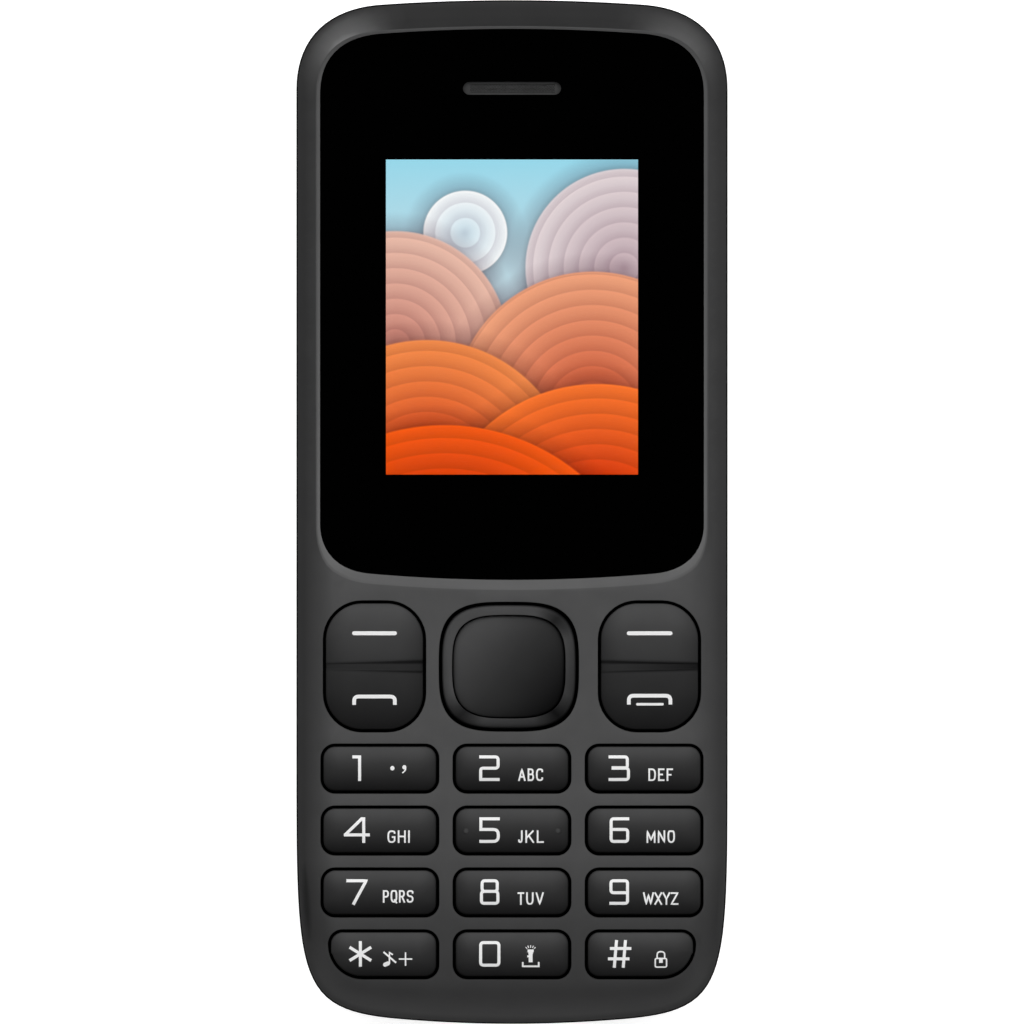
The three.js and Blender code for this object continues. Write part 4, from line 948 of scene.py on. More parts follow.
# Places of the print, in millimetres from each key's middle column and row: the digit, its left and right
# edges, then the letters, their left and right edges, their gap and their rise from the digit's foot.
COLUMN_PITCH = 14.7
PRINT_RISE = 0.055
DIGIT_HALF_HEIGHT = 1.425
HASH_TALLER = 1.08
LETTER_HEIGHT = 1.4
DASH_STROKE = 0.44
BRACKET_STROKE = 0.41
BAR_STROKE = 0.28
DOT_APART = 5.1
LEGENDS = {
    "key_1": ("1", -3.06, -2.09, "", 0, 0, 0, 0),
    "key_2": ("2", -3.65, -1.38, "ABC", 0.69, 3.46, 0.22, 0),
    "key_3": ("3", -3.95, -1.58, "DEF", 0.47, 3.22, 0.24, 0),
    "key_4": ("4", -4.01, -1.12, "GHI", 0.84, 3.33, 0.26, 0),
    "key_5": ("5", -3.63, -1.36, "JKL", 0.68, 3.54, 0.3, 0),
    "key_6": ("6", -3.84, -1.66, "MNO", 0.27, 3.43, 0.25, 0),
    "key_7": ("7", -3.73, -1.36, "PQRS", 0.33, 3.74, 0.18, 0.24),
    "key_8": ("8", -3.57, -1.4, "TUV", 0.62, 3.54, 0.22, 0),
    "key_9": ("9", -3.86, -1.68, "WXYZ", -0.13, 3.82, 0.04, 0),
    "key_star": ("*", -3.4, -0.95, "", 0, 0, 0, 0),
    "key_0": ("0", -3.66, -1.29, "", 0, 0, 0, 0),
    "key_hash": ("#", -4.02, -1.42, "", 0, 0, 0, 0),
}

# The small signs beside the digits: strokes, each its points, its width and whether its ends are round.
SMALL_SIGNS = {
    "key_1": [([(1.39, -0.02), (1.39, 0.02)], 0.46, True), ([(2.72, 0.08), (2.72, 0.12)], 0.44, True),
              ([(2.86, 0.14), (2.86, -0.22, 0.3), (2.5, -0.54)], 0.15, False)],
    "key_star": [([(0.58, -1.2), (0.9, -1.06)], 0.46, True),
                 ([(1.06, -1.1), (1.06, 0.16), (1.44, -0.1)], 0.17, False),
                 ([(0.4, 0.22), (1.8, -0.98)], 0.2, False),
                 ([(2.1, -0.57), (3.6, -0.57)], 0.16, False), ([(2.85, 0.18), (2.85, -1.32)], 0.16, False)],
    "key_0": [([(1.2, -0.9), (1.2, -1.38), (2.97, -1.38), (2.97, -0.9)], 0.19, False),
              ([(2.07, -0.93), (2.07, 0.05)], 0.44, False), ([(2.07, 0.0), (2.07, 0.2)], 0.52, False),
              ([(2.07, 0.18), (2.07, 0.5)], 0.68, False), ([(1.8, -0.38), (1.8, -0.16)], 0.2, False),
              ([(2.07, 0.68), (2.07, 0.98)], 0.09, False),
              ([(1.86, 0.66), (1.76, 0.92)], 0.09, False), ([(2.28, 0.66), (2.38, 0.92)], 0.09, False),
              ([(1.68, 0.58), (1.52, 0.76)], 0.09, False), ([(2.46, 0.58), (2.62, 0.76)], 0.09, False)],
    "key_hash": [([(1.87, -0.5), (1.24, -0.5, 0.2), (1.24, -1.47, 0.2), (2.5, -1.47, 0.2), (2.5, -0.5, 0.2),
                   (1.87, -0.5)], 0.16, False),
                 ([(1.45, -0.5), (1.45, 0.25, 0.5), (2.29, 0.25, 0.5), (2.29, -0.5)], 0.16, False),
                 ([(1.87, -1.0), (1.87, -0.5)], 0.42, False)],
}


def rounded_path(points, step=0.3):
    """A path through (x, y) or (x, y, r) points, in steps no longer than `step`.

    Each corner with an r is a quadratic curve that starts r before it, or halfway if that is nearer.
    """
    xy = np.array([p[:2] for p in points], float)
    out = [xy[:1]]
    for k in range(1, len(xy) - 1):
        r = points[k][2] if len(points[k]) > 2 else 0
        before, after = xy[k - 1] - xy[k], xy[k + 1] - xy[k]
        if not r:
            out.append(xy[k:k + 1])
            continue
        cut = [min(r, 0.5 * np.hypot(*d)) / np.hypot(*d) for d in (before, after)]
        a, b = xy[k] + before * cut[0], xy[k] + after * cut[1]
        t = np.linspace(0, 1, 7)[:, None]
        out.append((1 - t) ** 2 * a + 2 * (1 - t) * t * xy[k] + t**2 * b)
    out.append(xy[-1:])
    path = np.vstack(out)
    keep = np.concatenate([[True], np.hypot(*np.diff(path, axis=0).T) > 1e-6])
    path = path[keep]
    runs = np.hypot(*np.diff(path, axis=0).T)
    pieces = []
    for k, run in enumerate(runs):
        share = np.linspace(0, 1, int(np.ceil(run / step)), endpoint=False)[:, None]
        pieces.append(path[k] + share * (path[k + 1] - path[k]))
    return np.vstack([*pieces, path[-1:]])


MITRE_LIMIT = 0.7


def stroke_loops(path, width, round_ends=False):
    """The outline of a stroke along a path: one loop, or two where the path closes.

    Each side lies half a width off the path, more at a corner by one over the cosine of half its turn, which
    is held to MITRE_LIMIT. A round end is half a circle.
    """
    closed = np.allclose(path[0], path[-1])
    if closed:
        path = path[:-1]
    before = path - np.roll(path, 1, 0)
    after = np.roll(path, -1, 0) - path
    if not closed:
        before[0], after[-1] = after[0], before[-1]
    before /= np.hypot(*before.T)[:, None]
    after /= np.hypot(*after.T)[:, None]
    along = before + after
    along /= np.hypot(*along.T)[:, None]
    spread = np.clip((along * after).sum(1), MITRE_LIMIT, 1)
    side = np.stack([-along[:, 1], along[:, 0]], 1) * (width / 2 / spread)[:, None]
    left, right = path + side, path - side
    if closed:
        return [right, left[::-1]]
    if not round_ends:
        return [np.vstack([right, left[::-1]])]
    a = np.linspace(0, np.pi, 12)[1:-1, None]
    end = path[-1] + width / 2 * (-np.cos(a) * side[-1] / (width / 2) + np.sin(a) * along[-1])
    start = path[0] + side[0] * np.cos(a) - along[0] * np.sin(a) * width / 2
    return [np.vstack([right, end, left[::-1], start])]


def winding(p, loop):
    """How many times a loop goes round each point."""
    a, b = loop, np.roll(loop, -1, 0)
    y = p[:, 1:2]
    up, down = (a[:, 1] <= y) & (b[:, 1] > y), (a[:, 1] > y) & (b[:, 1] <= y)
    side = (b[:, 0] - a[:, 0]) * (y - a[:, 1]) - (p[:, 0:1] - a[:, 0]) * (b[:, 1] - a[:, 1])
    return (up & (side > 0)).sum(1) - (down & (side < 0)).sum(1)


def lay_strokes(shell, strokes, height, thick):
    """The union of strokes (path, width, round ends), laid on the surface `height` and `thick` proud of it.

    A triangle of the mesh of all the outlines is kept where the loops of some stroke wind round its middle.
    """
    outlines = [stroke_loops(*stroke) for stroke in strokes]
    loops = [loop for outline in outlines for loop in outline]
    starts = np.cumsum([0] + [len(loop) for loop in loops])
    points, _, faces, _, _, _ = delaunay_2d_cdt(
        [Vector(p) for p in np.concatenate(loops)], loop_sides(starts, loops), [], 0, 1e-6)
    points, faces = np.array(points), np.array(faces)
    middle = points[faces].mean(1)
    keep = np.zeros(len(faces), bool)
    for outline in outlines:
        keep |= sum(winding(middle, loop) for loop in outline) != 0
    faces = facing_up(points, faces[keep])
    top = shell.add(points, height(points) + thick)
    low = shell.add(points, height(points) - 2 * thick)
    shell.faces += [top[faces], low[faces[:, ::-1]]]
    sides = np.concatenate([faces[:, [0, 1]], faces[:, [1, 2]], faces[:, [2, 0]]])
    key = sides[:, 0] * len(points) + sides[:, 1]
    rim = sides[~np.isin(key, sides[:, 1] * len(points) + sides[:, 0])]
    shell.faces.append(np.stack([low[rim[:, 0]], low[rim[:, 1]], top[rim[:, 1]], top[rim[:, 0]]], 1))


def glyph_strokes(glyph, low, size, stroke):
    """One sign's strokes, stretched over a box of the given size, with their ends carried to its edge."""
    strokes = []
    for points in GLYPHS[glyph]:
        share = np.array([p[:2] for p in points], float)
        xy = low + stroke / 2 + share * (size - stroke)
        for end, beside in ((0, 1), (-1, -2)):
            away = xy[end] - xy[beside]
            if (np.isin(share[end], (0, 1)) & (away != 0)).any() and (share[0] != share[-1]).any():
                xy[end] += away / np.hypot(*away) * stroke / 2
        placed = [(*place, *(r * size[1] for r in p[2:])) for place, p in zip(xy, points)]
        strokes.append((rounded_path(placed), stroke, False))
    return strokes


def word_strokes(word, low, right, tall, stroke, gap):
    """A word between two edges: each letter as wide as its share, with even gaps."""
    shares = np.array([LETTER_WIDTHS.get(letter, 1.0) for letter in word])
    thin = shares < SINGLE_STROKE
    unit = (right - low[0] - gap * (len(word) - 1) - stroke * thin.sum()) / shares[~thin].sum()
    x = low[0]
    strokes = []
    for letter, share in zip(word, shares):
        width = stroke * 1.02 if share < SINGLE_STROKE else share * unit
        strokes += glyph_strokes(letter, np.array([x, low[1]]), np.array([width, tall]), stroke)
        x += width + gap
    return strokes


# Operators.

KEY_LINES = 45


def key_shell(key, height, run_rows, shade_at, flange_top, drop):
    """A key: a grid over its top, a wall down to its flange, and the flange.

    Each row of the grid spans the rim at its own y: half the key's width, less the corner's arc there. Rows
    and columns lie at the sines of even steps, closer at the rim, with the further rows of run_rows.
    """
    half = key.half - KEY_GAP
    radii = key.radii - KEY_GAP
    spacing = np.sin(np.pi / 2 * np.linspace(-1, 1, KEY_LINES))
    y = half[1] * spacing
    y = np.unique(np.round(np.concatenate([y, run_rows]), 4))
    y[0], y[-1] = -half[1], half[1]

    def side(radius_up, radius_low):
        """Half the width at each row, between two corners of one side."""
        r = np.where(y > 0, radius_up, radius_low)
        off = np.maximum(np.abs(y) - (half[1] - r), 0)
        return half[0] - r + np.sqrt(np.maximum(r**2 - off**2, 0))

    right, left = side(radii[0], radii[3]), -side(radii[1], radii[2])
    u = (1 + spacing) / 2
    x = left[:, None] + (right - left)[:, None] * u
    grid = np.stack([x, np.broadcast_to(y[:, None], x.shape)], -1) + key.middle
    shell = Shell()
    flat = grid.reshape(-1, 2)
    index = shell.add(flat, height(flat), shade_at(flat)).reshape(grid.shape[:2])
    shell.net(index)
    rim = np.concatenate([index[0, :-1], index[:-1, -1], index[-1, :0:-1], index[:0:-1, 0]])
    loop = np.concatenate(shell.points)[rim][:, :2]
    wide = grown(loop, KEY_GAP + FLANGE_REACH)
    # The wall and the flange take shade 0: painted shade down in the gap round the key.
    low = shell.add(wide, flange_top - FLANGE_THICK - drop(wide[:, 1]), 0)
    high = shell.add(wide, flange_top - drop(wide[:, 1]), 0)
    foot = shell.add(loop, flange_top - drop(loop[:, 1]), 0)
    shell.bands(low, high, foot, rim)
    shell.lid(low, flange_top - FLANGE_THICK - drop(key.middle[1]), up=False, shade=0)
    return shell


class PHONE_OT_front_housing(bpy.types.Operator):
    """Front housing: a bevelled face over a chin and a brow, with the lens's recess and the key openings"""

    bl_idname = "phone.front_housing"
    bl_label = "Front housing"

    def execute(self, context):
        sizes = context.scene.phone_sizes
        shell = Shell()
        openings = [*NUMBER_KEYS, *ROCKERS]
        hole_round = to_mm(sizes.hole_round)

        # The outer edge, a parabola from the side wall into the bevel: k² of its reach in, (1 - k)² down.
        corner = face_height(BODY_LOOP)
        reach = to_mm(sizes.edge_round)
        turn = np.linspace(0, 1, 8)
        flat = np.cos(np.arctan(BEVEL_SLOPE))
        rings = [
            shell.add(grown(BODY_LOOP, -WALL), PARTING, 0),
            shell.add(grown(BODY_LOOP, -GROOVE), PARTING, 0),
            shell.add(BODY_LOOP, PARTING + GROOVE, 0),
        ]
        for k in turn:
            inwards = k**2 * reach * flat
            fall = (1 - k) ** 2 * reach
            rim = grown(BODY_LOOP, -inwards)
            # The outer turns of the rounding get tone 0 and a near-black matt finish, painted shade for the
            # dark outline; the rest gets the edge's painted shade with the right bevel's painted light.
            tone = EDGE_SHADE_TONE + 0.8 * right_bevel_painted_light(rim) if k > OUTLINE_SHADE_TURN else 0.0
            rings.append(shell.add(rim, corner - fall + BEVEL_SLOPE * inwards, tone))
        outline_rings_end = 3 + int((turn <= OUTLINE_SHADE_TURN).sum())
        shell.bands(*rings[:4], finish="band")
        shell.bands(*rings[3:outline_rings_end], finish="trim")
        shell.bands(*rings[outline_rings_end - 1:])

        # The recess: its slope rises from the lens's seat until it meets the face, at a reach found by steps.
        seat = grown(LENS_LOOP, SEAT_GAP)
        out = np.full(len(LENS_LOOP), 0.6)
        for _ in range(30):
            edge = grown(LENS_LOOP, out)
            short = face_height(edge) - GLASS_HIGH[2] - RECESS_SLOPE * (out - SEAT_GAP)
            out = out + 0.6 * short / RECESS_SLOPE
        edge = grown(LENS_LOOP, out + 0.04)
        edge_ring = shell.add(edge, face_height(edge), painted_light_tone(edge))
        across = edge - seat
        sideways = np.abs(across[:, 0]) / np.linalg.norm(across, axis=1)
        # Its painted highlight is even above and below the lens. At the sides it is darker outside and
        # lighter inside, and lighter lower down.
        lift = 0.1 - 0.12 * np.clip(seat[:, 1] / 46, 0, 1)
        steps = []
        for share, gain in ((1.0, -0.3), (0.74, lift - 0.04)):
            away = out * share - 0.03
            steps.append(shell.add(grown(LENS_LOOP, away), GLASS_HIGH[2] + RECESS_SLOPE * (away - SEAT_GAP),
                                   RECESS_HIGHLIGHT_TONE + gain * sideways))
        steps.append(shell.add(seat, GLASS_HIGH[2], RECESS_HIGHLIGHT_TONE + (lift + 0.03) * sideways))
        steps.append(shell.add(seat, SHELF_TOP, 0.0))
        shell.bands(edge_ring, *steps)

        # The face between the outer edge, the recess and the rounded rims of the key openings.
        nav = lambda grow: superellipse(NAV_MIDDLE, NAV_HALF + grow, NAV_POWER)
        holes = [key.loop for key in openings] + [nav]
        rims = [hole(hole_round) for hole in holes]
        rim_rings = [shell.add(loop, face_height(loop), painted_light_tone(loop)) for loop in rims]
        grid = np.stack(np.meshgrid(np.arange(-24, 24, FACE_STEP), np.arange(-57, 57, FACE_STEP)), -1)
        grid = grid.reshape(-1, 2)
        grid = grid[distance_to(grid, BODY_LOOP) > BEVEL_RUN + 0.4]
        insets = [grown(BODY_LOOP, -d)[::2] for d in (0.9, 1.6, 2.1, 2.6, 3.1, 3.6, 4.0)]
        shell.fill([rim, edge, *rims], face_height, np.vstack([grid, *insets]),
                   rings=[rings[-1], edge_ring, *rim_rings], shade=painted_light_tone)

        # Down each opening, whose rim is a quarter circle, then the underside and the inner wall. The
        # rounding takes tone 0, a near-black painted shadow in the gap round each key.
        feet = []
        for hole, top, loop in zip(holes, rim_rings, rims):
            curve = []
            for a in np.radians([25, 50, 75, 90]):
                ring = hole(hole_round * (1 - np.sin(a)))
                curve.append(shell.add(ring, face_height(loop) - hole_round * (1 - np.cos(a)), 0.0))
            bore = hole(0)
            foot = shell.add(bore, CEILING - end_drop(bore[:, 1]), 0)
            shell.bands(top, *curve, foot)
            feet.append((bore, foot))
        window = rounded_rect(SCREEN_MIDDLE, SCREEN_HALF + WINDOW_MARGIN, np.full(4, 0.3))
        ear = rounded_rect(EAR_MIDDLE, EAR_HALF * [0.9, 0.6], np.full(4, 0.2))
        shelf_rings = [steps[-1], shell.add(window, SHELF_TOP, 0), shell.add(ear, SHELF_TOP, 0)]
        shell.fill([seat, window, ear], SHELF_TOP, rings=shelf_rings)
        for loop, top in zip((window, ear), shelf_rings[1:]):
            foot = shell.add(loop, CEILING - end_drop(loop[:, 1]), 0)
            shell.bands(top, foot)
            feet.append((loop, foot))
        inner = grown(BODY_LOOP, -WALL)
        inner_top = shell.add(inner, CEILING - end_drop(inner[:, 1]), 0)
        loops, foot_rings = zip((inner, inner_top), *feet)
        shell.fill(loops, 0, rings=foot_rings, up=False)
        shell.bands(inner_top, rings[0])
        make_piece("front_shell", shell, "housing", "phone", ["front_housing"])
        return {"FINISHED"}


class PHONE_OT_display(bpy.types.Operator):
    """Display: the black lens with its window pane, and the earpiece mesh in its slot"""

    bl_idname = "phone.display"
    bl_label = "Display"

    def execute(self, context):
        sizes = context.scene.phone_sizes
        window = rounded_rect(SCREEN_MIDDLE, SCREEN_HALF, np.full(4, 0.05), steps=2)
        slot_half = EAR_HALF + 0.1
        slot = rounded_rect(EAR_MIDDLE, slot_half, np.full(4, slot_half[1] - 0.001), steps=12)
        border = Shell()
        plate(border, LENS_LOOP, [window, slot], GLASS_LOW[2], GLASS_HIGH[2])
        make_piece("lens_border", border, "lens", "phone", ["display_lens"])
        pane = Shell()
        plate(pane, window, [], GLASS_LOW[2], GLASS_HIGH[2])
        make_piece("window_pane", pane, "pane", "phone")

        # The mesh: rows of round holes, every other row shifted by half a pitch.
        radius = to_mm(sizes.mesh_hole)
        pitch = 3.0 * radius
        row_pitch = pitch * 0.87
        ring = radius * circle(10)
        rows = int((EAR_HALF[1] - 2 * radius) / row_pitch)
        count = int((EAR_HALF[0] - EAR_HALF[1]) / pitch)
        holes = []
        for row in range(-rows, rows + 1):
            for k in range(-count, count + 1):
                holes.append(EAR_MIDDLE + [(k + 0.5 * (row % 2)) * pitch, row * row_pitch] + ring)
        shell = Shell()
        outer = rounded_rect(EAR_MIDDLE, slot_half - 0.02, np.full(4, slot_half[1] - 0.021), steps=12)
        plate(shell, outer, holes, EAR_LOW[2], EAR_HIGH[2])
        make_piece("earpiece_grille", shell, "mesh", "phone", ["earpiece_mesh"])
        return {"FINISHED"}


class PHONE_OT_number_keys(bpy.types.Operator):
    """Number keys: crowned caps that tilt with the chin, with a dot at each side of the 5"""

    bl_idname = "phone.number_keys"
    bl_label = "Number keys"

    def execute(self, context):
        round_off = to_mm(context.scene.phone_sizes.key_round)
        for key in NUMBER_KEYS:
            height = key_height(key, round_off)
            shade = lambda p, key=key: self.shade(key, p)
            shell = key_shell(key, height, [], shade, CEILING - FLANGE_GAP, plane_drop(key.middle[1]))
            if key.node == "key_5":
                for x in (-1, 1):
                    self.dot(shell, key.middle + [x * DOT_APART, -0.03], height)
            make_piece(key.node + "_cap", shell, "key", key.node, [key.node])
        return {"FINISHED"}

    @staticmethod
    def shade(key, p):
        """Painted light and shade: lit at the top, shaded at the foot and at the sides, with a painted shadow
        at the rim.

        It falls in a line down the key, times 1 - 0.4·s^1.5 over the last 2.2 mm of each side.
        """
        fall = 0.54 + (p[:, 1] - key.middle[1]) / (2 * key.half[1])
        side = 1 - np.clip((key.half[0] - np.abs(p[:, 0] - key.middle[0])) / 2.2, 0, 1)
        return np.clip(fall * (1 - 0.4 * side**1.5), 0, 1) * np.clip(key.inset(p) / 0.08, 0, 1)

    @staticmethod
    def dot(shell, middle, height, radius=0.34, rise=0.1):
        """A dome: rings at radius r·cos(b) and height rise·sin(b), on a foot sunk by `rise`.

        Its top takes painted light and its foot painted shade.
        """
        ring = circle(20)
        base = float(height(middle))
        low = shell.add(middle + radius * ring, base - rise, 0.1)
        rings = [low]
        for b in np.radians([0, 25, 50, 72]):
            rings.append(shell.add(
                middle + radius * np.cos(b) * ring, base + rise * np.sin(b), 0.3 + 0.55 * np.sin(b)))
        shell.bands(*rings)
        shell.lid(rings[-1], base + rise, shade=0.9)
        shell.lid(low, base - rise, up=False)


class PHONE_OT_rocker_keys(bpy.types.Operator):
    """Rocker keys: two long caps, each with a valley across it that widens towards the middle of the phone"""

    bl_idname = "phone.rocker_keys"
    bl_label = "Rocker keys"

    def execute(self, context):
        round_off = to_mm(context.scene.phone_sizes.key_round)
        rows = np.concatenate([np.linspace(-0.9, 0.9, 31), np.linspace(-7, 7, 57)])
        for key in ROCKERS:
            shade = lambda p, key=key: self.shade(key, p)
            shell = key_shell(
                key, rocker_height(key, round_off), rows, shade, CEILING - TILT_GAP, lambda y: 0 * y)
            make_piece(key.node + "_cap", shell, "key", key.node, [key.node])
        return {"FINISHED"}

    @staticmethod
    def shade(key, p):
        """Painted light and shade: lit at the top, shaded at the foot and at the sides, and painted shade in
        the valley.

        It falls in a line down the key, times one less a share for each of the valley's two slopes and its
        floor. On the left key the slopes' painted shade grows towards the inner end, on the right key the
        whole valley's painted shade grows towards the outer end.
        """
        fall = 0.58 + (p[:, 1] - key.middle[1]) / (2.1 * key.half[1])
        side = 1 - np.clip((key.half[0] - np.abs(p[:, 0] - key.middle[0])) / 3.0, 0, 1)
        off, inner = valley_at(key, p)
        if key.middle[0] < 0:
            high, low, flat = 0.25 + 0.7 * inner, 0.25 + 0.65 * inner, 0.5
        else:
            high, low, flat = 0.95 - 0.18 * inner, 0.95 - 0.43 * inner, 1.7 * (1 - inner)
        upper = np.clip(1.5 - np.abs(off - 0.75) / (0.12 + 0.22 * inner), 0, 1) * high
        lower = np.clip(1.5 - np.abs(off + 0.9) / (0.1 + 0.12 * inner), 0, 1) * low
        floor = np.clip(1.5 - np.abs(off), 0, 0.5) * flat
        dimmed = (1 - upper) * (1 - lower) * (1 - floor) * (1 - 0.4 * side**1.5)
        return np.clip(fall * dimmed, 0, 1) * np.clip(key.inset(p) / 0.08, 0, 1)


class PHONE_OT_navigation(bpy.types.Operator):
    """Navigation ring, sloping out and down round the OK key, and the crowned OK key"""

    bl_idname = "phone.navigation"
    bl_label = "Navigation keys"

    def execute(self, context):
        # The ring: straight shares from its outer rim to its inner one, with a flange outside.
        outer = superellipse(NAV_MIDDLE, NAV_HALF - KEY_GAP, NAV_POWER, 160)
        inner = superellipse(NAV_MIDDLE, OK_HALF + OK_GAP, OK_POWER, 160)
        wide = superellipse(NAV_MIDDLE, NAV_HALF + FLANGE_REACH, NAV_POWER, 160)
        top = CEILING - TILT_GAP
        shell = Shell()
        low_in = shell.add(inner, top - FLANGE_THICK, 0)
        rings = [low_in, shell.add(wide, top - FLANGE_THICK, 0), shell.add(wide, top, 0),
                 shell.add(outer, top, 0)]
        # Painted light on the OK key: lit at the upper left, shaded towards the lower right.
        diagonal_painted_light = lambda p: np.clip(0.52 + ((p - NAV_MIDDLE) @ [-0.75, 0.65]) / 12.0, 0, 1)
        ring_painted_light = lambda p: self.ring_shade(p - NAV_MIDDLE)
        for share in (0.0, 0.02, 0.05, 0.1, 0.18, 0.28, 0.4, 0.55, 0.7, 0.85, 0.95, 1.0):
            ring = outer + (inner - outer) * share
            rise = -NAV_SHOULDER + (NAV_SHOULDER + KEY_RISE / 2) * (1 - (1 - share) ** 6)
            edge = 0.05 * max(0, 1 - (1 - share) / 0.06) ** 2
            # The ring's painted light, with painted shade over its steep outer part next to the gap.
            tone = ring_painted_light(ring) * min(1, share / 0.16) * (0.8 + 0.4 * share)
            rings.append(shell.add(ring, FACE_TOP + rise - edge, tone))
        shell.bands(*rings, low_in)
        make_piece("nav_ring_cap", shell, "key", "nav_ring", ["nav_ring"])

        # The OK key: shares from its rim to its middle, crowned by a parabola over OK_RUN.
        rim = superellipse(NAV_MIDDLE, OK_HALF - OK_GAP, OK_POWER, 160)
        base = superellipse(NAV_MIDDLE, OK_HALF + OK_REACH - OK_GAP, OK_POWER, 160)
        low = box_of("ok_key")[0][2]
        shell = Shell()
        foot = shell.add(base, low, 0)
        rings = [foot, shell.add(base, low + 0.25, 0), shell.add(rim, low + 0.25, 0)]
        for share in (0, 0.005, 0.015, 0.03, 0.06, 0.12, 0.2, 0.3, 0.42, 0.56, 0.7, 0.85, 0.95):
            ring = rim + (NAV_MIDDLE - rim) * share
            crowned = (1 - min(1, share * OK_HALF[0] / OK_RUN)) ** 2
            rise = KEY_RISE / 2 - (KEY_RISE / 2 + KEY_SHOULDER) * crowned
            edge = 0.06 * max(0, 1 - share / 0.02) ** 2
            rings.append(shell.add(ring, FACE_TOP + rise - edge, diagonal_painted_light(ring)))
        shell.bands(*rings)
        shell.lid(rings[-1], FACE_TOP + KEY_RISE / 2, shade=0.5)
        shell.lid(foot, low, up=False, shade=0)
        make_piece("ok_key_cap", shell, "key", "ok_key", ["ok_key"])
        return {"FINISHED"}

    @staticmethod
    def ring_shade(d):
        """Painted light at the four sides, most at the upper left, and painted shade at all corners but the
        upper left.

        With a the angle round the ring, the sides are where |cos 2a| is high, and the light is a cosine of a.
        """
        a = np.arctan2(d[:, 1], d[:, 0])
        side = np.clip(1.6 * np.abs(np.cos(2 * a)), 0, 1)
        light = 0.8 + 0.25 * np.cos(a - np.radians(125))
        corner = 0.5 + 0.5 * np.cos(a - np.radians(135))
        return np.clip(light * (side + (1 - side) * corner**2 * 0.9), 0, 1)


class PHONE_OT_print(bpy.types.Operator):
    """Printed signs: digits and letters on the number keys, and the call and menu signs on the rockers"""

    bl_idname = "phone.print_signs"
    bl_label = "Printed signs"

    def execute(self, context):
        sizes = context.scene.phone_sizes
        thick = to_mm(sizes.print_thick)
        round_off = to_mm(sizes.key_round)
        digit, letter = to_mm(sizes.digit_stroke), to_mm(sizes.letter_stroke)
        for key in NUMBER_KEYS:
            column_x = np.round(key.middle[0] / COLUMN_PITCH) * COLUMN_PITCH
            column = np.array([column_x, key.middle[1] + PRINT_RISE])
            sign, left, right, word, start, end, gap, lift = LEGENDS[key.node]
            tall = DIGIT_HALF_HEIGHT * (HASH_TALLER if sign == "#" else 1.0)
            strokes = glyph_strokes(sign, column + [left, -tall], np.array([right - left, 2 * tall]), digit)
            if word:
                strokes += word_strokes(word, column + [start, lift - DIGIT_HALF_HEIGHT], column[0] + end,
                                        LETTER_HEIGHT, letter, gap)
            for points, width, round_ends in SMALL_SIGNS.get(key.node, []):
                placed = [(p[0] + column[0], p[1] + column[1], *p[2:]) for p in points]
                strokes.append((rounded_path(placed), width, round_ends))
            shell = Shell()
            lay_strokes(shell, strokes, key_height(key, round_off), thick)
            make_piece(key.node + "_print", shell, "ink", key.node)
        for key in ROCKERS:
            shell = Shell()
            lay_strokes(shell, self.rocker_signs(key.middle[0] > 0), rocker_height(key, round_off), thick)
            make_piece(key.node + "_print", shell, "ink", key.node)
        return {"FINISHED"}

    @staticmethod
    def rocker_signs(right):
        """A dash above the valley and a handset's bracket below it, with a bar under the right one's."""
        start, end = (12.8, 17.83) if right else (-17.77, -12.83)
        top, foot = (-20.44, -21.42) if right else (-20.53, -21.46)
        inset = BRACKET_STROKE / 2
        strokes = [
            (rounded_path([(start + 0.2, -13.49), (end - 0.2, -13.49)]), DASH_STROKE, True),
            (rounded_path([(start + inset, foot), (start + inset, top, 0.55), (end - inset, top, 0.55),
                           (end - inset, foot)]), BRACKET_STROKE, False)]
        if right:
            strokes.append((rounded_path([(13.95, -21.39), (16.75, -21.39)]), BAR_STROKE, True))
        return strokes


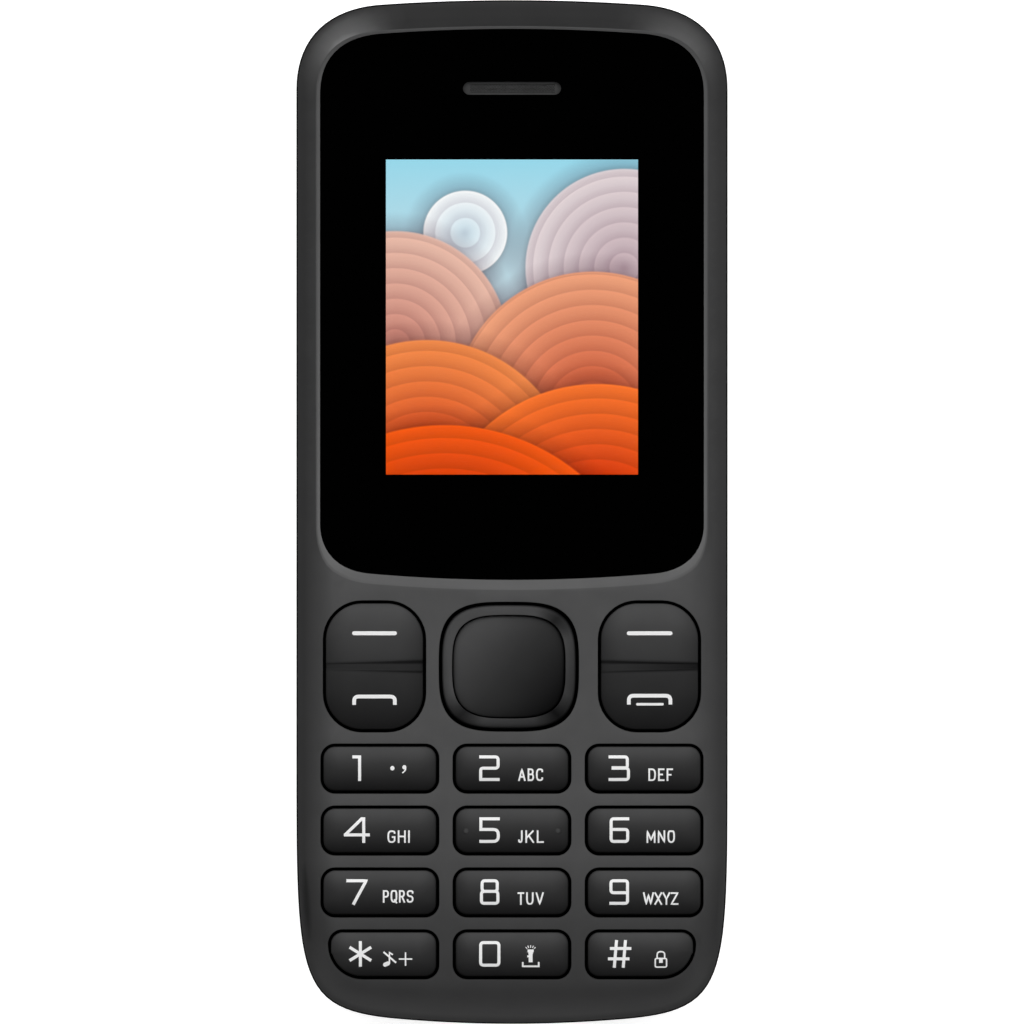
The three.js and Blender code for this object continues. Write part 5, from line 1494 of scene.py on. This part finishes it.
class PHONE_OT_back_cover(bpy.types.Operator):
    """Back cover: a thin tray with a rounded edge, speaker slots and a thumb notch in its rim"""

    bl_idname = "phone.back_cover"
    bl_label = "Back cover"

    def execute(self, context):
        wall, radius = 1.2, 3.5
        slot_half = np.array([5.5, 0.55])
        slots = [rounded_rect(np.array([0, 32.5 + (k - 2) * 2.3]), slot_half, np.full(4, 0.549), steps=8)
                 for k in range(5)]
        slot_chamfer = 0.12

        # The rim, with an arc scooped out of it at the foot for a thumb.
        notch_depth, notch_radius = 1.4, 6.0
        x, y = BODY_LOOP.T
        scoop = COVER_RIM - notch_depth + notch_radius - np.sqrt(np.maximum(notch_radius**2 - x**2, 0))
        rim = np.where((y < 0) & (np.abs(x) < notch_radius), np.minimum(COVER_RIM, scoop), COVER_RIM)
        shell = Shell()

        def tray(edge_inset, corner, floor):
            """Loops from a floor's rim up a quarter circle to the wall, each with its height."""
            turn = np.linspace(0, np.pi / 2, 12)
            levels = zip(edge_inset + corner * (1 - np.sin(turn)), floor + corner * (1 - np.cos(turn)))
            return [(grown(BODY_LOOP, -inset), height) for inset, height in levels]

        outside = tray(0, radius, 0)
        within = tray(wall, radius - wall, wall)
        outer = [shell.add(loop, z) for loop, z in outside]
        inner = [shell.add(loop, z) for loop, z in within]
        soft = 0.15
        lip = [shell.add(BODY_LOOP, rim - soft), shell.add(grown(BODY_LOOP, -soft * 0.3), rim - soft * 0.3),
               shell.add(grown(BODY_LOOP, -soft), rim), shell.add(grown(BODY_LOOP, -wall), rim)]
        shell.bands(*outer, *lip, *inner[::-1])

        # The two sides of its back, and each slot's wall with a chamfer outside.
        mouths = [grown(slot, slot_chamfer) for slot in slots]
        low = shell.fill([outside[0][0], *mouths], 0.0, rings=[
            outer[0], *[shell.add(mouth, 0.0) for mouth in mouths]], up=False)
        high = shell.fill([within[0][0], *slots], wall, rings=[
            inner[0], *[shell.add(slot, wall) for slot in slots]])
        for k, slot in enumerate(slots, 1):
            shell.bands(high[k], shell.add(slot, slot_chamfer), low[k])
        make_piece("back_cover_shell", shell, "cover", "battery_cover", ["battery_cover"],
                   sharp=30)
        return {"FINISHED"}


class PHONE_OT_inner_parts(bpy.types.Operator):
    """Rear housing and inner parts: their frame solids with their finishes, the housing's smoothed"""

    bl_idname = "phone.inner_parts"
    bl_label = "Inner parts"

    # The solids that stay in view, each with its finish.
    kept = {
        "lens_tape": "film", "earpiece_receiver": "steel", "lcd_panel": "screen", "lcd_backlight": "white",
        "lcd_flex": "flex", "keypad_mat": "silicone", "dome_sheet": "steel", "nav_pad": "silicone",
        "main_board": "board", "shield_can_radio": "steel", "shield_can_logic": "steel",
        "usb_socket": "steel", "headphone_jack": "black", "sim_holder_left": "steel",
        "sim_holder_right": "steel", "memory_card_holder": "steel", "battery_contacts": "gold",
        "loudspeaker": "speaker", "vibration_motor": "steel", "motor_weight": "heavy", "microphone": "steel",
        "torch_led": "white", "torch_lens": "clear", "antenna": "gold", "battery": "cell",
        "housing_screw_1": "screw", "housing_screw_2": "screw", "housing_screw_3": "screw",
        "housing_screw_4": "screw",
    }

    def execute(self, context):
        for node, finish in self.kept.items():
            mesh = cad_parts[node].data
            mesh.materials.clear()
            mesh.materials.append(FINISHES[finish].material)
        self.smooth_copy("rear_housing", "rear_shell", "band", "rear_plastic")
        return {"FINISHED"}

    @staticmethod
    def smooth_copy(node, name, finish, slot):
        """A merged copy of a node, smooth across its shallow edges."""
        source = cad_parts[node]
        copy = bpy.data.objects.new(name, source.data.copy())
        bpy.context.scene.collection.objects.link(copy)
        weld = copy.modifiers.new("weld", "WELD")
        weld.merge_threshold = 1e-6
        bpy.context.view_layer.update()
        mesh = bpy.data.meshes.new_from_object(copy.evaluated_get(bpy.context.evaluated_depsgraph_get()))
        copy.modifiers.clear()
        copy.data = mesh
        mesh.shade_smooth()
        mesh.set_sharp_from_angle(angle=np.radians(20))
        mesh.materials.clear()
        mesh.materials.append(FINISHES[finish].material)
        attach(copy, "phone")
        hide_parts(node)


FLOOR_REACH = 4000.0
FLOOR_GAP = 0.02
# Each lamp's direction, from +X towards +Y and up from level, and the angle that it spreads over, in degrees.
LAMPS = {
    "left_lamp": (152, 38, 50),
    "right_lamp": (24, 38, 50),
    "top_lamp": (95, 48, 45),
    "under_lamp": (215, -50, 60),
}


class PHONE_OT_stage(bpy.types.Operator):
    """Stage: a pale floor, soft lamps round the phone and below it, and a camera straight above it"""

    bl_idname = "phone.stage"
    bl_label = "Stage"

    def execute(self, context):
        scene = context.scene
        stage = scene.phone_stage
        corners = [(x * FLOOR_REACH * MM, y * FLOOR_REACH * MM, -FLOOR_GAP * MM)
                   for x, y in ((-1, -1), (1, -1), (1, 1), (-1, 1))]
        mesh = bpy.data.meshes.new("floor")
        mesh.from_pydata(corners, [], [(0, 1, 2, 3)])
        mesh.materials.append(self.floor_finish(stage.floor_glow))
        ground = bpy.data.objects.new("floor", mesh)
        scene.collection.objects.link(ground)
        for name, (azimuth, elevation, spread) in LAMPS.items():
            self.lamp(name, azimuth, elevation, spread, getattr(stage, name))
        self.world(scene, stage.sky)
        camera = bpy.data.objects.new("camera", bpy.data.cameras.new("camera"))
        scene.collection.objects.link(camera)
        camera.data.lens = stage.lens_length
        camera.data.sensor_width = 36
        half_height = FRAME_HALF * MM
        distance = half_height / (camera.data.sensor_width / 2 / camera.data.lens)
        camera.location = (0, 0, SILHOUETTE * MM + distance)
        camera.data.clip_start, camera.data.clip_end = 0.1, 20
        scene.camera = camera
        scene.view_settings.view_transform = "Standard"
        return {"FINISHED"}

    @staticmethod
    def lamp(name, azimuth, elevation, spread, share):
        """A far, soft lamp, unseen in glosses, that gives a white level surface a share of full white."""
        a, e = np.radians([azimuth, elevation])
        data = bpy.data.lights.new(name, "SUN")
        data.angle = np.radians(spread)
        data.energy = np.pi * share / np.sin(abs(e))
        lamp = bpy.data.objects.new(name, data)
        away = Vector((np.cos(e) * np.cos(a), np.cos(e) * np.sin(a), np.sin(e)))
        lamp.location = away
        lamp.rotation_mode = "QUATERNION"
        lamp.rotation_quaternion = (-away).to_track_quat("-Z", "Y")
        lamp.visible_glossy = False
        bpy.context.scene.collection.objects.link(lamp)

    @staticmethod
    def floor_finish(glow):
        """Pale and matt, lifted to white where the camera, a gloss or clear stock sees it; clear from below.

        It's clear to the light of the lamp below it too.
        """
        f = moulded("floor_white", (0.8, 0.8, 0.8), 0.9, grain=50, depth=0, spread=0.01, specular=0.0)
        path = f.add("ShaderNodeLightPath")
        seen = f.math("ADD", path, "Is Camera Ray")
        f.link(path, "Is Glossy Ray", seen, 1)
        through = f.math("ADD", seen, "Value")
        through.use_clamp = True
        f.link(path, "Is Transmission Ray", through, 1)
        f.link(f.math("MULTIPLY", through, "Value", glow), "Value", f.shader, "Emission Strength")
        f.set(Emission_Color=(1, 1, 1, 1))
        side = f.add("ShaderNodeNewGeometry")
        gone = f.math("ADD", side, "Backfacing")
        gone.use_clamp = True
        f.link(path, "Is Shadow Ray", gone, 1)
        clear = f.add("ShaderNodeBsdfTransparent")
        either = f.add("ShaderNodeMixShader")
        f.link(gone, "Value", either, 0)
        f.link(f.shader, "BSDF", either, 1)
        f.link(clear, "BSDF", either, 2)
        f.link(either, "Shader", f.output, "Surface")
        return f.material

    @staticmethod
    def world(scene, horizon):
        """A sky that is white at the horizon and dark overhead, and plain white where the camera sees it."""
        world = bpy.data.worlds.new("studio")
        scene.world = world
        world.use_nodes = True
        nodes, links = world.node_tree.nodes, world.node_tree.links
        nodes.clear()
        place, split, ramp, sky, output = (nodes.new(kind) for kind in (
            "ShaderNodeTexCoord", "ShaderNodeSeparateXYZ", "ShaderNodeValToRGB", "ShaderNodeBackground",
            "ShaderNodeOutputWorld"))
        ramp.color_ramp.elements[0].position, ramp.color_ramp.elements[1].position = 0.3, 0.92
        ramp.color_ramp.elements[0].color, ramp.color_ramp.elements[1].color = (1, 1, 1, 1), (0, 0, 0, 1)
        sky.inputs["Strength"].default_value = horizon
        path, white, either = (nodes.new(kind) for kind in (
            "ShaderNodeLightPath", "ShaderNodeBackground", "ShaderNodeMixShader"))
        white.inputs["Color"].default_value = (1, 1, 1, 1)
        links.new(place.outputs["Generated"], split.inputs[0])
        links.new(split.outputs["Z"], ramp.inputs["Fac"])
        links.new(ramp.outputs["Color"], sky.inputs["Color"])
        links.new(path.outputs["Is Camera Ray"], either.inputs[0])
        links.new(sky.outputs[0], either.inputs[1])
        links.new(white.outputs[0], either.inputs[2])
        links.new(either.outputs[0], output.inputs[0])


class PHONE_PT_panel(bpy.types.Panel):
    """The sizes, the colours and the steps"""

    bl_idname = "PHONE_PT_panel"
    bl_label = "Keypad phone"
    bl_space_type = "VIEW_3D"
    bl_region_type = "UI"
    bl_category = "Phone"

    def draw(self, context):
        for group in (context.scene.phone_sizes, context.scene.phone_colours, context.scene.phone_stage):
            for key in group.__annotations__:
                self.layout.prop(group, key)
        for step in STEPS:
            self.layout.operator(step.bl_idname)


GROUPS = {"phone_sizes": PhoneSizes, "phone_colours": PhoneColours, "phone_stage": PhoneStage}
STEPS = [
    PHONE_OT_front_housing, PHONE_OT_display, PHONE_OT_number_keys, PHONE_OT_rocker_keys, PHONE_OT_navigation,
    PHONE_OT_print, PHONE_OT_back_cover, PHONE_OT_inner_parts, PHONE_OT_stage,
]


def register():
    """Makes the groups, the operators and the panel known, and gives the scene its groups."""
    for cls in (*GROUPS.values(), *STEPS, PHONE_PT_panel):
        bpy.utils.register_class(cls)
    for name, group in GROUPS.items():
        setattr(bpy.types.Scene, name, bpy.props.PointerProperty(type=group))


def unregister():
    """Takes back what register gave."""
    for name in GROUPS:
        delattr(bpy.types.Scene, name)
    for cls in (PHONE_PT_panel, *reversed(STEPS), *GROUPS.values()):
        bpy.utils.unregister_class(cls)


def main():
    """Builds every piece and the stage."""
    register()
    make_finishes(bpy.context.scene.phone_colours)
    for step in STEPS:
        group, name = step.bl_idname.split(".")
        getattr(getattr(bpy.ops, group), name)()


if __name__ == "__main__":
    main()
